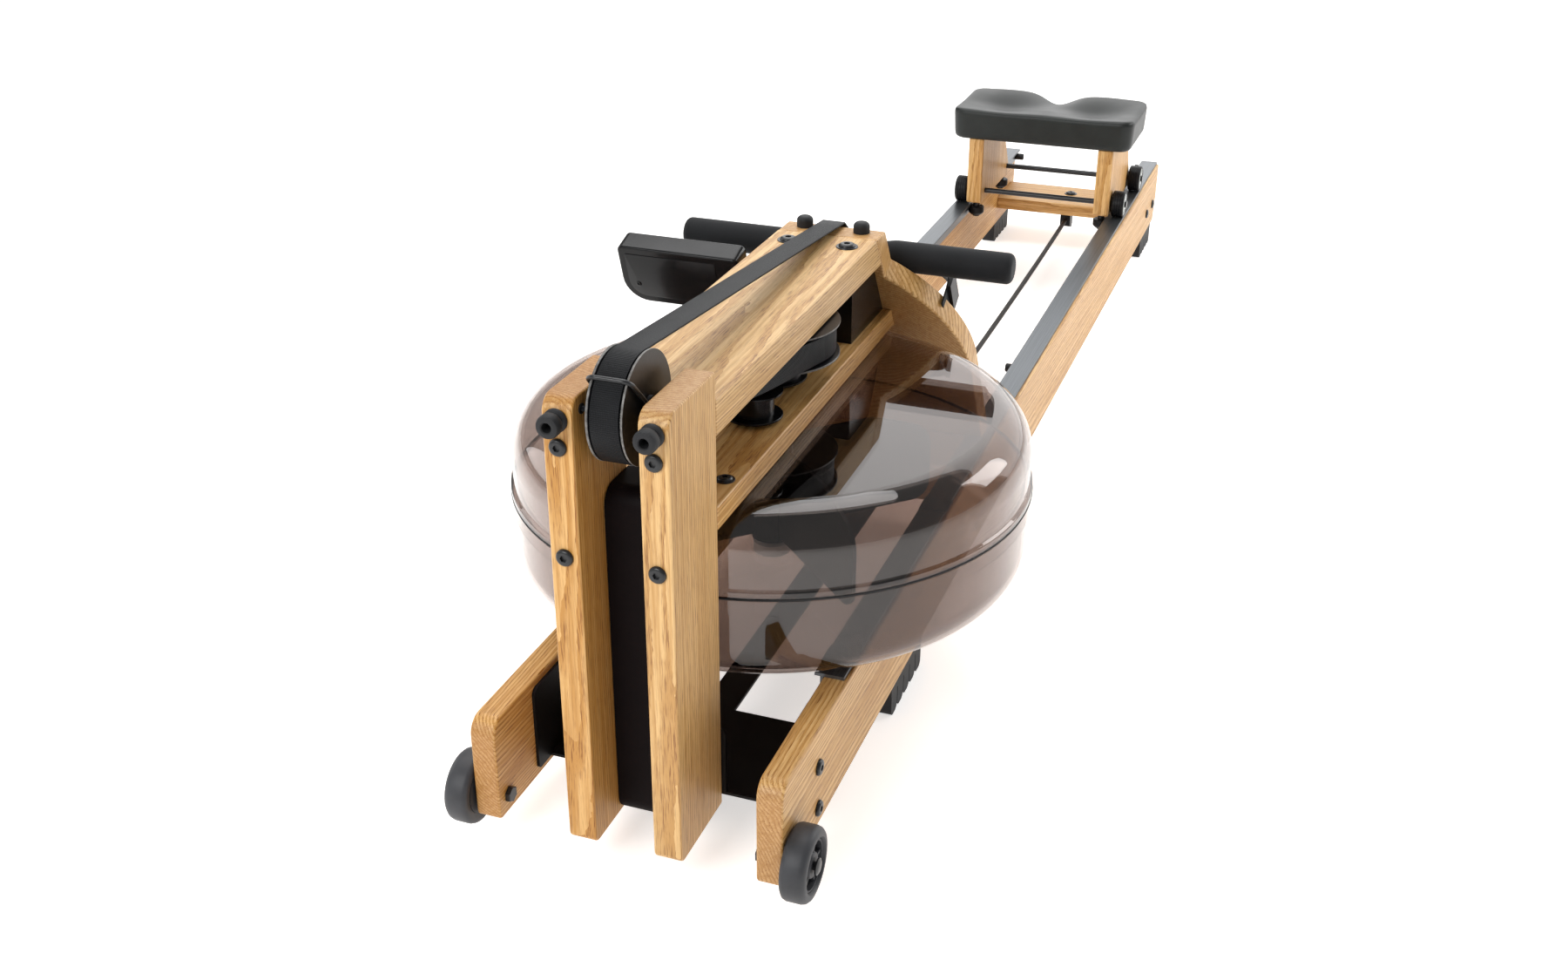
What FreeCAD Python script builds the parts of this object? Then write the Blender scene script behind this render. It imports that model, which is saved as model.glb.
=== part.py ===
import FreeCAD, Part
import math
import os

# Water rowing machine. Millimetres, +Z up, +Y from the posts towards the seat, +X to the
# right of somebody who looks along +Y. While it is drawn, y = 0 is the front of the posts and
# rails, and the floor is z = 0. save() moves every part so that the origin is the middle of
# the whole machine's footprint, on the floor.

# Frame
rail_length = 2112.0
rail_width = 25.0
rail_height = 107.7
rail_gap = 255.0
foot_height = 36.0
post_width = 27.5
post_gap = 57.5
post_depth = 98.0
post_top = 478.5
deck_top = 452.5
deck_thickness = 34.0
lower_deck_thickness = 23.0
board_thickness = 28.0
board_slope = 57.0
board_corner_radius = 195.0
board_corner_drop = 224.0
plank_thickness = 22.0
plank_depth = 116.0
plate_thickness = 3.0

# Seat track
track_start = 180.0
track_thickness = 3.5
track_overhang = 8.5
track_lip = 2.8
wood_margin = 3.7

# Tank
tank_radius = 269.0
tank_centre_y = 385.0
tank_wall = 4.0
tank_bottom = 150.0
tank_seam = 247.0
seal_height = 3.0
lower_corner = 38.0
upper_corner = 42.0

# Turning parts
sheave_radius = 46.5
sheave_flange = 49.0
sheave_y = 47.5
sheave_z = 460.0
axle_seat = 18.0
strap_width = 26.0
strap_thickness = 2.0
drum_radius = 62.0
drum_flange = 69.0
spool_radius = 30.0
recoil_width = 20.0
recoil_thickness = 1.5
shaft_radius = 8.0
guide_x = 18.0
guide_y = 286.0
guide_radius = 20.0
guide_flange = 28.5
shroud_front = 48.0
shroud_bend = 18.0
idler_radius = 14.0
idler_y = 72.0
blade_reach = 190.0
wheel_radius = 35.5
wheel_width = 25.0
wheel_y = 17.8
wheel_z = 55.5
drum_head_gap = 1.5
drum_foot_gap = 7.5
flange_step = 3.0
strap_play = 3.1
pulley_side = 3.4

# Seat
seat_wheel_radius = 22.0
seat_wheel_width = 22.0
seat_front_wheel_y = 1735.0
seat_wheel_base = 170.0
cushion_width = 312.0
cushion_depth = 170.0
cushion_front_y = 1695.0
cushion_bottom = 267.0
cushion_height = 56.0
seat_plate_width = 26.0
seat_plate_centre = 112.0
guide_roller_radius = 13.5
roller_height = 15.0
front_stop_y = 1019.0
stop_radius = 6.0
stop_length = 16.0

# Handle
handle_length = 390.0
handle_x = -6.0
handle_back = 84.07
handle_z = 409.0
grip_radius = 17.5
bar_radius = 12.5
grip_inner = 46.0

# Monitor
monitor_width = 146.0
monitor_height = 74.0
monitor_depth = 30.0
monitor_tilt = 18.0
monitor_x = -170.0
hinge_back = 4.07
hinge_z = 388.0
hinge_radius = 5.0

# Clearances
running = 0.05
bolt_clearance = 0.2
touch = 0.3
gap = 1.0

# Worked out from the values above
rail_inner = rail_gap / 2
rail_outer = rail_inner + rail_width
rail_top = foot_height + rail_height
board_half_width = rail_inner + rail_width / 2
post_inner = post_gap / 2
post_outer = post_inner + post_width
track_top = rail_top + track_thickness
track_inner = rail_inner - track_overhang
track_outer = rail_outer - wood_margin
deck_bottom = deck_top - deck_thickness
drum_height = strap_width + strap_play + 2 * flange_step + pulley_side + recoil_width
lower_deck_top = deck_bottom - drum_head_gap - drum_height - drum_foot_gap
lower_deck_bottom = lower_deck_top - lower_deck_thickness
tank_top = lower_deck_bottom
slope_sin = math.sin(math.radians(board_slope))
slope_cos = math.cos(math.radians(board_slope))
shoulder_y = tank_centre_y + tank_radius - upper_corner - 1.0
shoulder_z = tank_top - upper_corner
board_y = shoulder_y + (upper_corner + 2.5 + (shoulder_z - deck_top) * slope_cos) / slope_sin
bumper_length = 19.0
handle_y = board_y + handle_back
hinge_y = board_y + hinge_back
model_middle_y = (rail_length - bumper_length) / 2
plank_front_y = rail_length - 140.0
hook_y = plank_front_y + 46.0
cord_radius = 4.0
recoil_z = lower_deck_top + drum_foot_gap + recoil_width / 2
recoil_turn = idler_radius + touch + recoil_thickness / 2
idler_high_z = recoil_z - recoil_turn
idler_low_z = foot_height + 19.0
run_z = idler_low_z - recoil_turn
clip_front_y = 745.0
clip_length = 40.0
strap_down = 135.0
strap_inner = 20.0
strap_outer = 112.0
foot_strap_width = 38.0
foot_strap_rise = 58.0
seat_wheel_z = track_top + seat_wheel_radius + touch
seat_wheel_ys = (seat_front_wheel_y, seat_front_wheel_y + seat_wheel_base)
seat_plate_bottom = track_top + 5.0
roller_x = rail_inner - track_lip - touch - guide_roller_radius
roller_ys = (seat_front_wheel_y - 7.0, seat_front_wheel_y + seat_wheel_base + 7.0)
roller_low_z = rail_top - 1.5 - roller_height
rear_stop_y = rail_length - 13.5
vec = FreeCAD.Vector
unit_x = vec(1, 0, 0)
unit_y = vec(0, 1, 0)
unit_z = vec(0, 0, 1)


def save(name, shape):
    placed = shape.copy()
    placed.translate(vec(0, -model_middle_y, 0))
    assert placed.isValid(), name
    placed.exportStep("parts/" + name + ".step")


def group(shapes):
    return Part.makeCompound(shapes)


def box(x0, x1, y0, y1, z0, z1):
    return Part.makeBox(x1 - x0, y1 - y0, z1 - z0, vec(x0, y0, z0))


def rod(start, direction, radius, length):
    return Part.makeCylinder(radius, length, start, direction)


def ring(start, direction, outer, inner, length):
    return rod(start, direction, outer, length).cut(rod(start, direction, inner, length))


def mirrored(shape):
    return shape.mirror(vec(0, 0, 0), unit_x)


def rounded_wire(points, place):
    """Closed wire through (a, b) corners; a third value on a corner rounds it to that radius."""
    flat = [vec(p[0], p[1], 0) for p in points]
    edges = []
    starts = []
    ends = []
    arcs = []
    count = len(points)
    for i, point in enumerate(points):
        corner = flat[i]
        radius = point[2] if len(point) > 2 else 0
        before = (flat[i - 1] - corner).normalize()
        after = (flat[(i + 1) % count] - corner).normalize()
        if radius <= 0:
            starts.append(corner)
            ends.append(corner)
            arcs.append(None)
            continue
        half = before.getAngle(after) / 2
        reach = radius / math.tan(half)
        bisector = (before + after).normalize()
        centre = corner + bisector * (radius / math.sin(half))
        starts.append(corner + before * reach)
        ends.append(corner + after * reach)
        arcs.append(centre - bisector * radius)
    for i in range(count):
        if arcs[i] is not None:
            edges.append(Part.Arc(place(starts[i]), place(arcs[i]), place(ends[i])).toShape())
        tail = place(ends[i])
        head = place(starts[(i + 1) % count])
        if (head - tail).Length > 1e-6:
            edges.append(Part.LineSegment(tail, head).toShape())
    return Part.Wire(edges)


def slab_x(points, x0, x1):
    wire = rounded_wire(points, lambda p: vec(x0, p.x, p.y))
    return Part.Face(wire).extrude(vec(x1 - x0, 0, 0))


def slab_y(points, y0, y1):
    wire = rounded_wire(points, lambda p: vec(p.x, y0, p.y))
    return Part.Face(wire).extrude(vec(0, y1 - y0, 0))


def slab_z(points, z0, z1):
    wire = rounded_wire(points, lambda p: vec(p.x, p.y, z0))
    return Part.Face(wire).extrude(vec(0, 0, z1 - z0))


def turned(points, base, direction):
    """Solid of revolution: points are (radius, distance along the axis from base)."""
    side = unit_x if abs(direction.x) < 0.5 else unit_z
    wire = rounded_wire(points, lambda p: base + side * p.x + direction * p.y)
    solid = Part.Face(wire).revolve(base, direction, 360)
    if solid.Volume < 0:
        solid.reverse()
    return solid


def on_board(x, down, out):
    """Point on the footboard: down its slope from the top edge, out from its tank side."""
    y = board_y + down * slope_cos + out * slope_sin
    z = deck_top - down * slope_sin + out * slope_cos
    return vec(x, y, z)


def board_slab(points, out0, out1):
    wire = rounded_wire(points, lambda p: on_board(p.x, p.y, out0))
    normal = on_board(0, 0, 1) - on_board(0, 0, 0)
    return Part.Face(wire).extrude(normal * (out1 - out0))


def socket_bolt(head_point, out, head_radius, head_height, shank_radius, shank_length):
    """Button-head screw: head stands out from head_point, shank goes the other way."""
    edge = head_height * 0.45
    head = turned([(0, 0), (head_radius, 0), (head_radius, head_height, edge), (0, head_height)],
                  head_point, out)
    socket_radius = head_radius * 0.4
    socket = rod(head_point + out * (head_height * 0.4), out, socket_radius, head_height)
    shank = rod(head_point - out * shank_length, out, shank_radius, shank_length)
    return head.cut(socket).fuse(shank).removeSplitter()


# Where the frame's screws go: head point, direction, head radius, head height, shank radius, length
def frame_screws():
    screws = []
    post_x = (post_inner + post_outer) / 2
    for sign in (-1, 1):
        for z in (435.5, 333.5):
            screws.append((vec(sign * post_x, 0, z), vec(0, -1, 0), 8.0, 5.0, 3.0, 60.0))
        screws.append((vec(sign * post_x, -6.0, sheave_z), vec(0, -1, 0), 5.0, 4.0, 2.5, 46.0))
        for z in (102.5, 56.4):
            screws.append((vec(sign * rail_outer, 96.0, z), unit_x * sign, 8.0, 4.0, 3.0, 26.0))
        for y in (plank_front_y + 28.0, plank_front_y + 96.0):
            z = 66.0 + plank_thickness / 2
            screws.append((vec(sign * rail_outer, y, z), unit_x * sign, 8.0, 4.0, 3.0, 55.0))
        screws.append((vec(sign * 33.0, board_y - 32.0, deck_top), unit_z, 9.0, 3.5, 3.0, 28.0))
        screws.append((vec(sign * 42.0, 151.0, lower_deck_top), unit_z, 7.0, 3.0, 2.5, 18.0))
    screws.append((vec(0, plank_front_y + 71.0, 66.0 + plank_thickness), unit_z, 9.0, 3.5, 3.0, 17.0))
    return screws


def with_screw_holes(shape):
    bounds = shape.BoundBox
    for point, out, head_radius, head_height, shank_radius, length in frame_screws():
        middle = point - out * (length / 2)
        near = bounds.isInside(middle) or bounds.isInside(point - out * 2) \
            or bounds.isInside(point - out * (length - 1))
        if near:
            start = point + out * 1.0
            shape = shape.cut(rod(start, out * -1, shank_radius + bolt_clearance, length + 1.5))
    return shape


def frame_bolts():
    solids = [socket_bolt(*screw) for screw in frame_screws()]
    for sign in (-1, 1):
        inner = rail_inner - 5.0
        outer = rail_outer + gap + wheel_width
        shank = rod(vec(sign * inner, wheel_y, wheel_z), unit_x * sign, 4.0, outer - inner)
        head = rod(vec(sign * outer, wheel_y, wheel_z), unit_x * sign, 8.0, 3.0)
        nut = rod(vec(sign * rail_inner, wheel_y, wheel_z), unit_x * -sign, 8.0, 5.0)
        solids.append(shank.fuse([head, nut]).removeSplitter())
    return group(solids)


# Wooden frame
def rail():
    outline = [(0, foot_height, 6), (rail_length - 12, foot_height, 4),
               (rail_length, foot_height + 40), (rail_length, rail_top, 3), (0, rail_top, 18)]
    wood = slab_x(outline, rail_inner, rail_outer)
    bolt_hole = rod(vec(rail_inner - 1, wheel_y, wheel_z), unit_x, 4.0 + bolt_clearance,
                    rail_width + 2)
    return with_screw_holes(wood.cut(bolt_hole))


def seat_tracks():
    outline = [(track_inner, rail_top), (rail_inner - track_lip, rail_top),
               (rail_inner - track_lip, rail_top - 16.0), (rail_inner, rail_top - 16.0),
               (rail_inner, rail_top), (track_outer, rail_top), (track_outer, track_top, 1.0),
               (track_inner, track_top, 1.0)]
    track = slab_y(outline, track_start, rail_length)
    return group([track, mirrored(track)])


def post():
    outline = [(0, foot_height, 8), (post_depth, foot_height), (post_depth, post_top, 3),
               (0, post_top, 15)]
    wood = slab_x(outline, post_inner, post_outer)
    axle_hole = rod(vec(post_inner - 1, sheave_y, sheave_z), unit_x, 6.0 + bolt_clearance,
                    axle_seat + bolt_clearance + 1)
    idler_holes = [rod(vec(post_inner - 1, idler_y, z), unit_x, 4.0 + bolt_clearance, 12.0)
                   for z in (idler_high_z, idler_low_z)]
    return with_screw_holes(wood.cut([axle_hole] + idler_holes))


def deck_end(z):
    """How far back a deck reaches at height z, where it meets the sloping footboard."""
    return board_y + (deck_top - z) * slope_cos / slope_sin


def top_deck():
    outline = [(post_depth, deck_bottom), (deck_end(deck_bottom), deck_bottom),
               (deck_end(deck_top), deck_top, 2), (post_depth, deck_top)]
    wood = slab_x(outline, -post_outer, post_outer)
    bearing_hole = rod(vec(0, tank_centre_y, deck_bottom - 1), unit_z, 13.0 + bolt_clearance, 15.0)
    return with_screw_holes(wood.cut(bearing_hole))


def lower_deck():
    outline = [(post_depth, lower_deck_bottom), (deck_end(lower_deck_bottom), lower_deck_bottom),
               (deck_end(lower_deck_top), lower_deck_top), (post_depth, lower_deck_top)]
    wood = slab_x(outline, -post_outer, post_outer)
    bearing_hole = rod(vec(0, tank_centre_y, lower_deck_bottom - 1), unit_z,
                       18.0 + bolt_clearance, lower_deck_thickness + 2)
    guide_hole = rod(vec(guide_x, guide_y, lower_deck_top - 12), unit_z, 4.0 + bolt_clearance, 14.0)
    return with_screw_holes(wood.cut([bearing_hole, guide_hole]))


def footboard():
    half_top = post_outer
    low_z = track_top + touch
    reach = math.sqrt(board_corner_radius ** 2
                      - (half_top - board_half_width + board_corner_radius) ** 2)
    curve_start = board_corner_drop - reach
    bottom = (deck_top - low_z) / slope_sin + 40.0
    middle_x = board_half_width - board_corner_radius * (1 - math.cos(math.radians(28)))
    middle_drop = board_corner_drop - board_corner_radius * math.sin(math.radians(28))

    def at(x, down):
        return on_board(x, down, 0)

    sides = []
    for sign in (1, -1):
        sides.append([Part.LineSegment(at(sign * half_top, -40), at(sign * half_top, curve_start)),
                      Part.Arc(at(sign * half_top, curve_start), at(sign * middle_x, middle_drop),
                               at(sign * board_half_width, board_corner_drop)),
                      Part.LineSegment(at(sign * board_half_width, board_corner_drop),
                                       at(sign * board_half_width, bottom))])
    top = Part.LineSegment(at(-half_top, -40), at(half_top, -40))
    low = Part.LineSegment(at(-board_half_width, bottom), at(board_half_width, bottom))
    edges = [part.toShape() for part in sides[0] + sides[1] + [top, low]]
    wire = Part.Wire(Part.__sortEdges__(edges))
    normal = on_board(0, 0, 1) - on_board(0, 0, 0)
    board = Part.Face(wire).extrude(normal * board_thickness)
    keep = box(-300, 300, 0, 1200, low_z, deck_top)
    board = board.common(keep)
    slots = [board_slab([(x - 3, strap_down - 22), (x + 3, strap_down - 22),
                         (x + 3, strap_down + 22), (x - 3, strap_down + 22)],
                        -1, board_thickness + 1)
             for x in (-strap_outer, -strap_inner, strap_inner, strap_outer)]
    return board.cut(slots)


def mid_crosspiece():
    notch_z = rail_top - 16.0 - gap
    half = rail_inner
    narrow = track_inner - gap
    front = deck_end(track_top)
    outline = [(-half, foot_height + 13), (half, foot_height + 13), (half, notch_z),
               (narrow, notch_z), (narrow, track_top), (-narrow, track_top),
               (-narrow, notch_z), (-half, notch_z)]
    return slab_y(outline, front, front + board_thickness / slope_sin)


def rear_crosspiece():
    wood = box(-rail_inner, rail_inner, plank_front_y, plank_front_y + plank_depth, 66.0,
               66.0 + plank_thickness)
    return with_screw_holes(wood)


def base_plate():
    """Steel plate that ties posts and rails, with its tongue under the tank."""
    low = 46.0
    high = low + plate_thickness
    front = post_depth + plate_thickness
    sheet = box(-rail_inner, rail_inner, front, 229.0, low, high)
    tongue = box(-17.0, 17.0, 229.0, deck_end(track_top), low, high)
    upstand = slab_y([(-60, low), (60, low), (60, 120, 6), (-60, 120, 6)], post_depth, front)
    ear = slab_x([(74.0, low, 4), (229.0, low), (229.0, 70, 8), (150, 136, 20), (74.0, 136, 8)],
                 rail_inner - plate_thickness, rail_inner)
    web = box(-rail_inner + plate_thickness, rail_inner - plate_thickness, post_depth, front,
              low, high)
    plate = sheet.fuse([tongue, upstand, web, ear, mirrored(ear)]).removeSplitter()
    return with_screw_holes(plate)


def front_shroud():
    """Moulded channel between the posts that covers the recoil strap; open at the back."""
    half = post_inner - gap
    wall = 2.5
    front = shroud_front
    bend = shroud_bend
    low = foot_height + 2
    high = recoil_z + recoil_thickness + wall + 5
    outer = slab_x([(front, low, bend), (post_depth, low), (post_depth, high), (front, high, bend)],
                   -half, half)
    inner = slab_x([(front + wall, low + wall, bend - wall), (post_depth + 1, low + wall),
                    (post_depth + 1, high - wall), (front + wall, high - wall, bend - wall)],
                   -half + wall, half - wall)
    exit_slot = box(-half + wall, half - wall, front + wall, post_depth + 1, low - 1, low + 4)
    axle_holes = [rod(vec(-half - 1, idler_y, z), unit_x, 4.0 + bolt_clearance, 2 * half + 2)
                  for z in (idler_high_z, idler_low_z)]
    return outer.cut([inner, exit_slot] + axle_holes)


# Rubber parts
def storage_bumper(x):
    profile = [(bolt_clearance + 2.5, 0), (10.5, 0), (10.5, 4, 1), (8.0, 6, 1), (8.0, 8, 1),
               (10.5, 10, 1), (10.5, bumper_length, 3), (6.0, bumper_length),
               (6.0, 6.0), (bolt_clearance + 2.5, 6.0)]
    return turned(profile, vec(x, 0, sheave_z), vec(0, -1, 0))


def rubber_buffers():
    """Storage bumpers, seat stops and the pads that the tank sits on."""
    post_x = (post_inner + post_outer) / 2
    solids = [storage_bumper(-post_x), storage_bumper(post_x)]
    wall_x = rail_inner - track_lip
    for y in (front_stop_y, rear_stop_y):
        for sign in (-1, 1):
            start = vec(sign * wall_x, y, rail_top - 8.0)
            solids.append(rod(start, unit_x * -sign, stop_radius, stop_length))
    return group(solids + tank_pads())


def ribbed_foot(y0, lobes, pitch):
    """Rubber foot under a rail: a pad with a row of round lobes that stand on the floor."""
    lobe_radius = pitch * 0.46
    half = rail_width / 2 - 1.0
    centre = rail_inner + rail_width / 2
    pad = box(centre - half, centre + half, y0, y0 + lobes * pitch, foot_height - 10.0, foot_height)
    for index in range(lobes):
        y = y0 + (index + 0.5) * pitch
        lobe = slab_x([(y - lobe_radius, foot_height - 9.5), (y - lobe_radius, 0.0, 7.0),
                       (y + lobe_radius, 0.0, 7.0), (y + lobe_radius, foot_height - 9.5)],
                      centre - half, centre + half)
        pad = pad.fuse(lobe)
    return pad.removeSplitter()


def feet():
    front = ribbed_foot(340.0, 5, 23.0)
    rear = ribbed_foot(rail_length - 147.0, 5, 23.0)
    return group([front, mirrored(front), rear, mirrored(rear)])


def tank_pads():
    flat = tank_radius - 1.0 - lower_corner
    reach = math.sqrt(flat ** 2 - rail_outer ** 2)
    pads = []
    for y in (tank_centre_y - reach - 14, tank_centre_y + reach - 16):
        pad = box(track_inner, rail_outer - 1, y, y + 30, track_top, tank_bottom)
        pads += [pad, mirrored(pad)]
    return pads


# Tank
def bowl(profile_out, profile_in, holes):
    base = vec(0, tank_centre_y, 0)
    shell = turned(profile_out, base, unit_z).cut(turned(profile_in, base, unit_z))
    return shell.cut(holes) if holes else shell


def tank_lower_bowl():
    side = tank_radius - 1.0
    lip = tank_radius + 2.0
    top = tank_seam - seal_height / 2
    outer = [(0, tank_bottom), (side, tank_bottom, lower_corner), (side, top - 17),
             (lip, top - 15), (lip, top), (0, top)]
    inner_low = tank_bottom + tank_wall
    inner = [(0, inner_low), (side - tank_wall, inner_low, lower_corner - tank_wall),
             (side - tank_wall, top + 1), (0, top + 1)]
    return bowl(outer, inner, None)


def tank_upper_bowl():
    side = tank_radius - 1.0
    lip = tank_radius + 2.0
    low = tank_seam + seal_height / 2
    outer = [(0, low), (lip, low), (lip, low + 6, 2), (side, low + 8), (side, tank_top, upper_corner),
             (0, tank_top)]
    inner = [(0, low - 1), (side - tank_wall, low - 1),
             (side - tank_wall, tank_top - tank_wall, upper_corner - tank_wall),
             (0, tank_top - tank_wall)]
    shaft_hole = rod(vec(0, tank_centre_y, tank_top - 10), unit_z, 18.0 + bolt_clearance, 20)
    plug_hole = rod(fill_point() - unit_z * 10, unit_z, 14.0 + bolt_clearance, 20)
    return bowl(outer, inner, [shaft_hole, plug_hole])


def fill_point():
    return vec(-120.0, tank_centre_y + 60.0, tank_top)


def tank_seal():
    return ring(vec(0, tank_centre_y, tank_seam - seal_height / 2), unit_z, tank_radius + 2.6,
                tank_radius - 6.0, seal_height)


def fill_plug():
    profile = [(0, -8), (14.0, -8), (14.0, 0), (18.0, 0), (18.0, 6, 2), (0, 6)]
    plug = turned(profile, fill_point(), unit_z)
    grip = box(-3, 3, -14, 14, 6, 12)
    grip.translate(fill_point())
    return plug.fuse(grip).removeSplitter()


def bearing(z0, z1, outer):
    return ring(vec(0, tank_centre_y, z0), unit_z, outer, shaft_radius + running, z1 - z0)


def shaft_bearings():
    low = bearing(tank_bottom + tank_wall, tank_bottom + tank_wall + 12, 20.0)
    middle = bearing(lower_deck_bottom - tank_wall, lower_deck_top, 18.0)
    high = bearing(deck_bottom, deck_bottom + 14.0, 13.0)
    return group([low, middle, high])


def paddle_shaft():
    low = tank_bottom + tank_wall + gap
    return rod(vec(0, tank_centre_y, low), unit_z, shaft_radius, deck_bottom + 13.0 - low)


def paddle_blades():
    centre = vec(0, tank_centre_y, 0)
    hub = ring(centre + unit_z * 172, unit_z, 22.0, shaft_radius, 120.0)
    blades = []
    for index in range(4):
        blade = slab_y([(15, 178), (blade_reach, 178, 20), (blade_reach, 262, 30), (120, 286, 20),
                        (15, 286)], tank_centre_y - 2, tank_centre_y + 2)
        blade.rotate(centre, unit_z, 45 + 90 * index)
        blades.append(blade)
    bore = rod(centre + unit_z * 150, unit_z, shaft_radius, 160)
    return hub.fuse(blades).cut(bore).removeSplitter()


# Drive
def flanged_pulley(base, direction, core, flange, wall, length, bore):
    profile = [(bore, 0), (flange, 0), (flange, wall, 0.8), (core, wall + 1), (core, length - wall - 1),
               (flange, length - wall, 0.8), (flange, length), (bore, length)]
    return turned(profile, base, direction)


def front_sheave():
    half = strap_width / 2 + pulley_side
    return flanged_pulley(vec(-half, sheave_y, sheave_z), unit_x, sheave_radius, sheave_flange, 2.0,
                          2 * half, 6.0 + running)


def drum():
    """Strap drum with the smaller recoil spool below it, on the paddle shaft's one-way clutch."""
    low = lower_deck_top + drum_foot_gap - 3.5
    split = recoil_z + recoil_width / 2 + pulley_side
    top = deck_bottom - drum_head_gap
    bore = shaft_radius + running
    profile = [(bore, low), (36.0, low), (36.0, low + 2), (spool_radius, low + 3),
               (spool_radius, split), (drum_flange, split), (drum_flange, split + 2, 0.8),
               (drum_radius, split + 3), (drum_radius, top - 3), (drum_flange, top - 2, 0.8),
               (drum_flange, top), (bore, top)]
    return turned(profile, vec(0, tank_centre_y, 0), unit_z)


def guide_spool():
    length = recoil_width + 2 * pulley_side
    low = recoil_z - length / 2
    return flanged_pulley(vec(guide_x, guide_y, low), unit_z, guide_radius, guide_flange, 2.0, length,
                          4.0 + running)


def idler(z):
    half = recoil_width / 2 + pulley_side
    return flanged_pulley(vec(-half, idler_y, z), unit_x, idler_radius, idler_radius + 4, 2.0,
                          2 * half, 4.0 + running)


def pulley_axles():
    reach = post_inner + axle_seat
    sheave_axle = rod(vec(-reach, sheave_y, sheave_z), unit_x, 6.0, 2 * reach)
    half = post_inner + 10.0
    idler_axles = [rod(vec(-half, idler_y, z), unit_x, 4.0, 2 * half)
                   for z in (idler_high_z, idler_low_z)]
    low = lower_deck_top - 12
    spool_half = recoil_width / 2 + pulley_side
    high = recoil_z + spool_half + touch
    stud = rod(vec(guide_x, guide_y, low), unit_z, 4.0, high - low)
    nut = rod(vec(guide_x, guide_y, high), unit_z, 8.0, 5.0)
    collar_height = recoil_z - spool_half - touch - lower_deck_top
    collar = ring(vec(guide_x, guide_y, lower_deck_top), unit_z, 8.0, 4.0, collar_height)
    stud = stud.fuse([nut, collar]).removeSplitter()
    return group([sheave_axle, stud] + idler_axles)


def belt_hoop():
    """Wire guard on the sheave's axle that keeps the strap in its groove."""
    wire_radius = 2.0
    half = strap_width / 2 + pulley_side + wire_radius + gap
    far = sheave_flange + wire_radius + 2.0
    near = 9.0
    bend = 8.0
    lift = vec(0, -math.sqrt(0.5), math.sqrt(0.5))
    axle = vec(0, sheave_y, sheave_z)

    def place(x, s):
        return axle + unit_x * x + lift * s

    cut_in = bend * (1 - math.sqrt(0.5))
    edges = [Part.LineSegment(place(-half, near), place(-half, far - bend)),
             Part.Arc(place(-half, far - bend), place(-half + cut_in, far - cut_in),
                      place(-half + bend, far)),
             Part.LineSegment(place(-half + bend, far), place(half - bend, far)),
             Part.Arc(place(half - bend, far), place(half - cut_in, far - cut_in),
                      place(half, far - bend)),
             Part.LineSegment(place(half, far - bend), place(half, near))]
    path = Part.Wire([edge.toShape() for edge in edges])
    section = Part.Wire(Part.makeCircle(wire_radius, place(-half, near), lift))
    hoop = path.makePipeShell([section], True, False)
    eyes = [ring(vec(sign * half - 1.5, sheave_y, sheave_z), unit_x, near + 2.0,
                 6.0 + bolt_clearance, 3.0) for sign in (-1, 1)]
    return hoop.fuse(eyes).removeSplitter()


# Straps and cord
def band(points, thickness):
    """Outline of a flat strap along an open middle line of (a, b, corner radius) points."""
    line = [vec(p[0], p[1], 0) for p in points]
    sides = ([], [])
    for i, point in enumerate(points):
        run_in = (line[i] - line[i - 1]).normalize() if i > 0 else None
        run_out = (line[i + 1] - line[i]).normalize() if i < len(line) - 1 else None
        along = run_in or run_out
        if run_in and run_out:
            along = (run_in + run_out).normalize()
        normal = vec(-along.y, along.x, 0)
        spread = thickness / 2 / (normal.dot(vec(-(run_out or run_in).y, (run_out or run_in).x, 0)))
        turn = run_in.cross(run_out).z if run_in and run_out else 0
        radius = point[2] if len(point) > 2 else 0
        for side, list_of in ((1, sides[0]), (-1, sides[1])):
            spot = line[i] + normal * (spread * side)
            bent = 0
            if radius > 0:
                bent = radius - math.copysign(thickness / 2, turn) * side
            list_of.append((spot.x, spot.y, bent))
    return sides[0] + sides[1][::-1]


def twisted_strip(flat_centre, flat_y, upright_centre, upright_y, width, thickness):
    """Strap that turns from lying flat to standing on edge between two places on its way."""
    half = width / 2
    t = thickness / 2
    flat = [vec(flat_centre.x + a, flat_y, flat_centre.y + b)
            for a, b in ((-half, t), (half, t), (half, -t), (-half, -t))]
    upright = [vec(upright_centre.x + b, upright_y, upright_centre.y - a)
               for a, b in ((-half, t), (half, t), (half, -t), (-half, -t))]
    ends = [Part.makePolygon(corners + [corners[0]]) for corners in (flat, upright)]
    return Part.makeLoft(ends, True, True)


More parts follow.
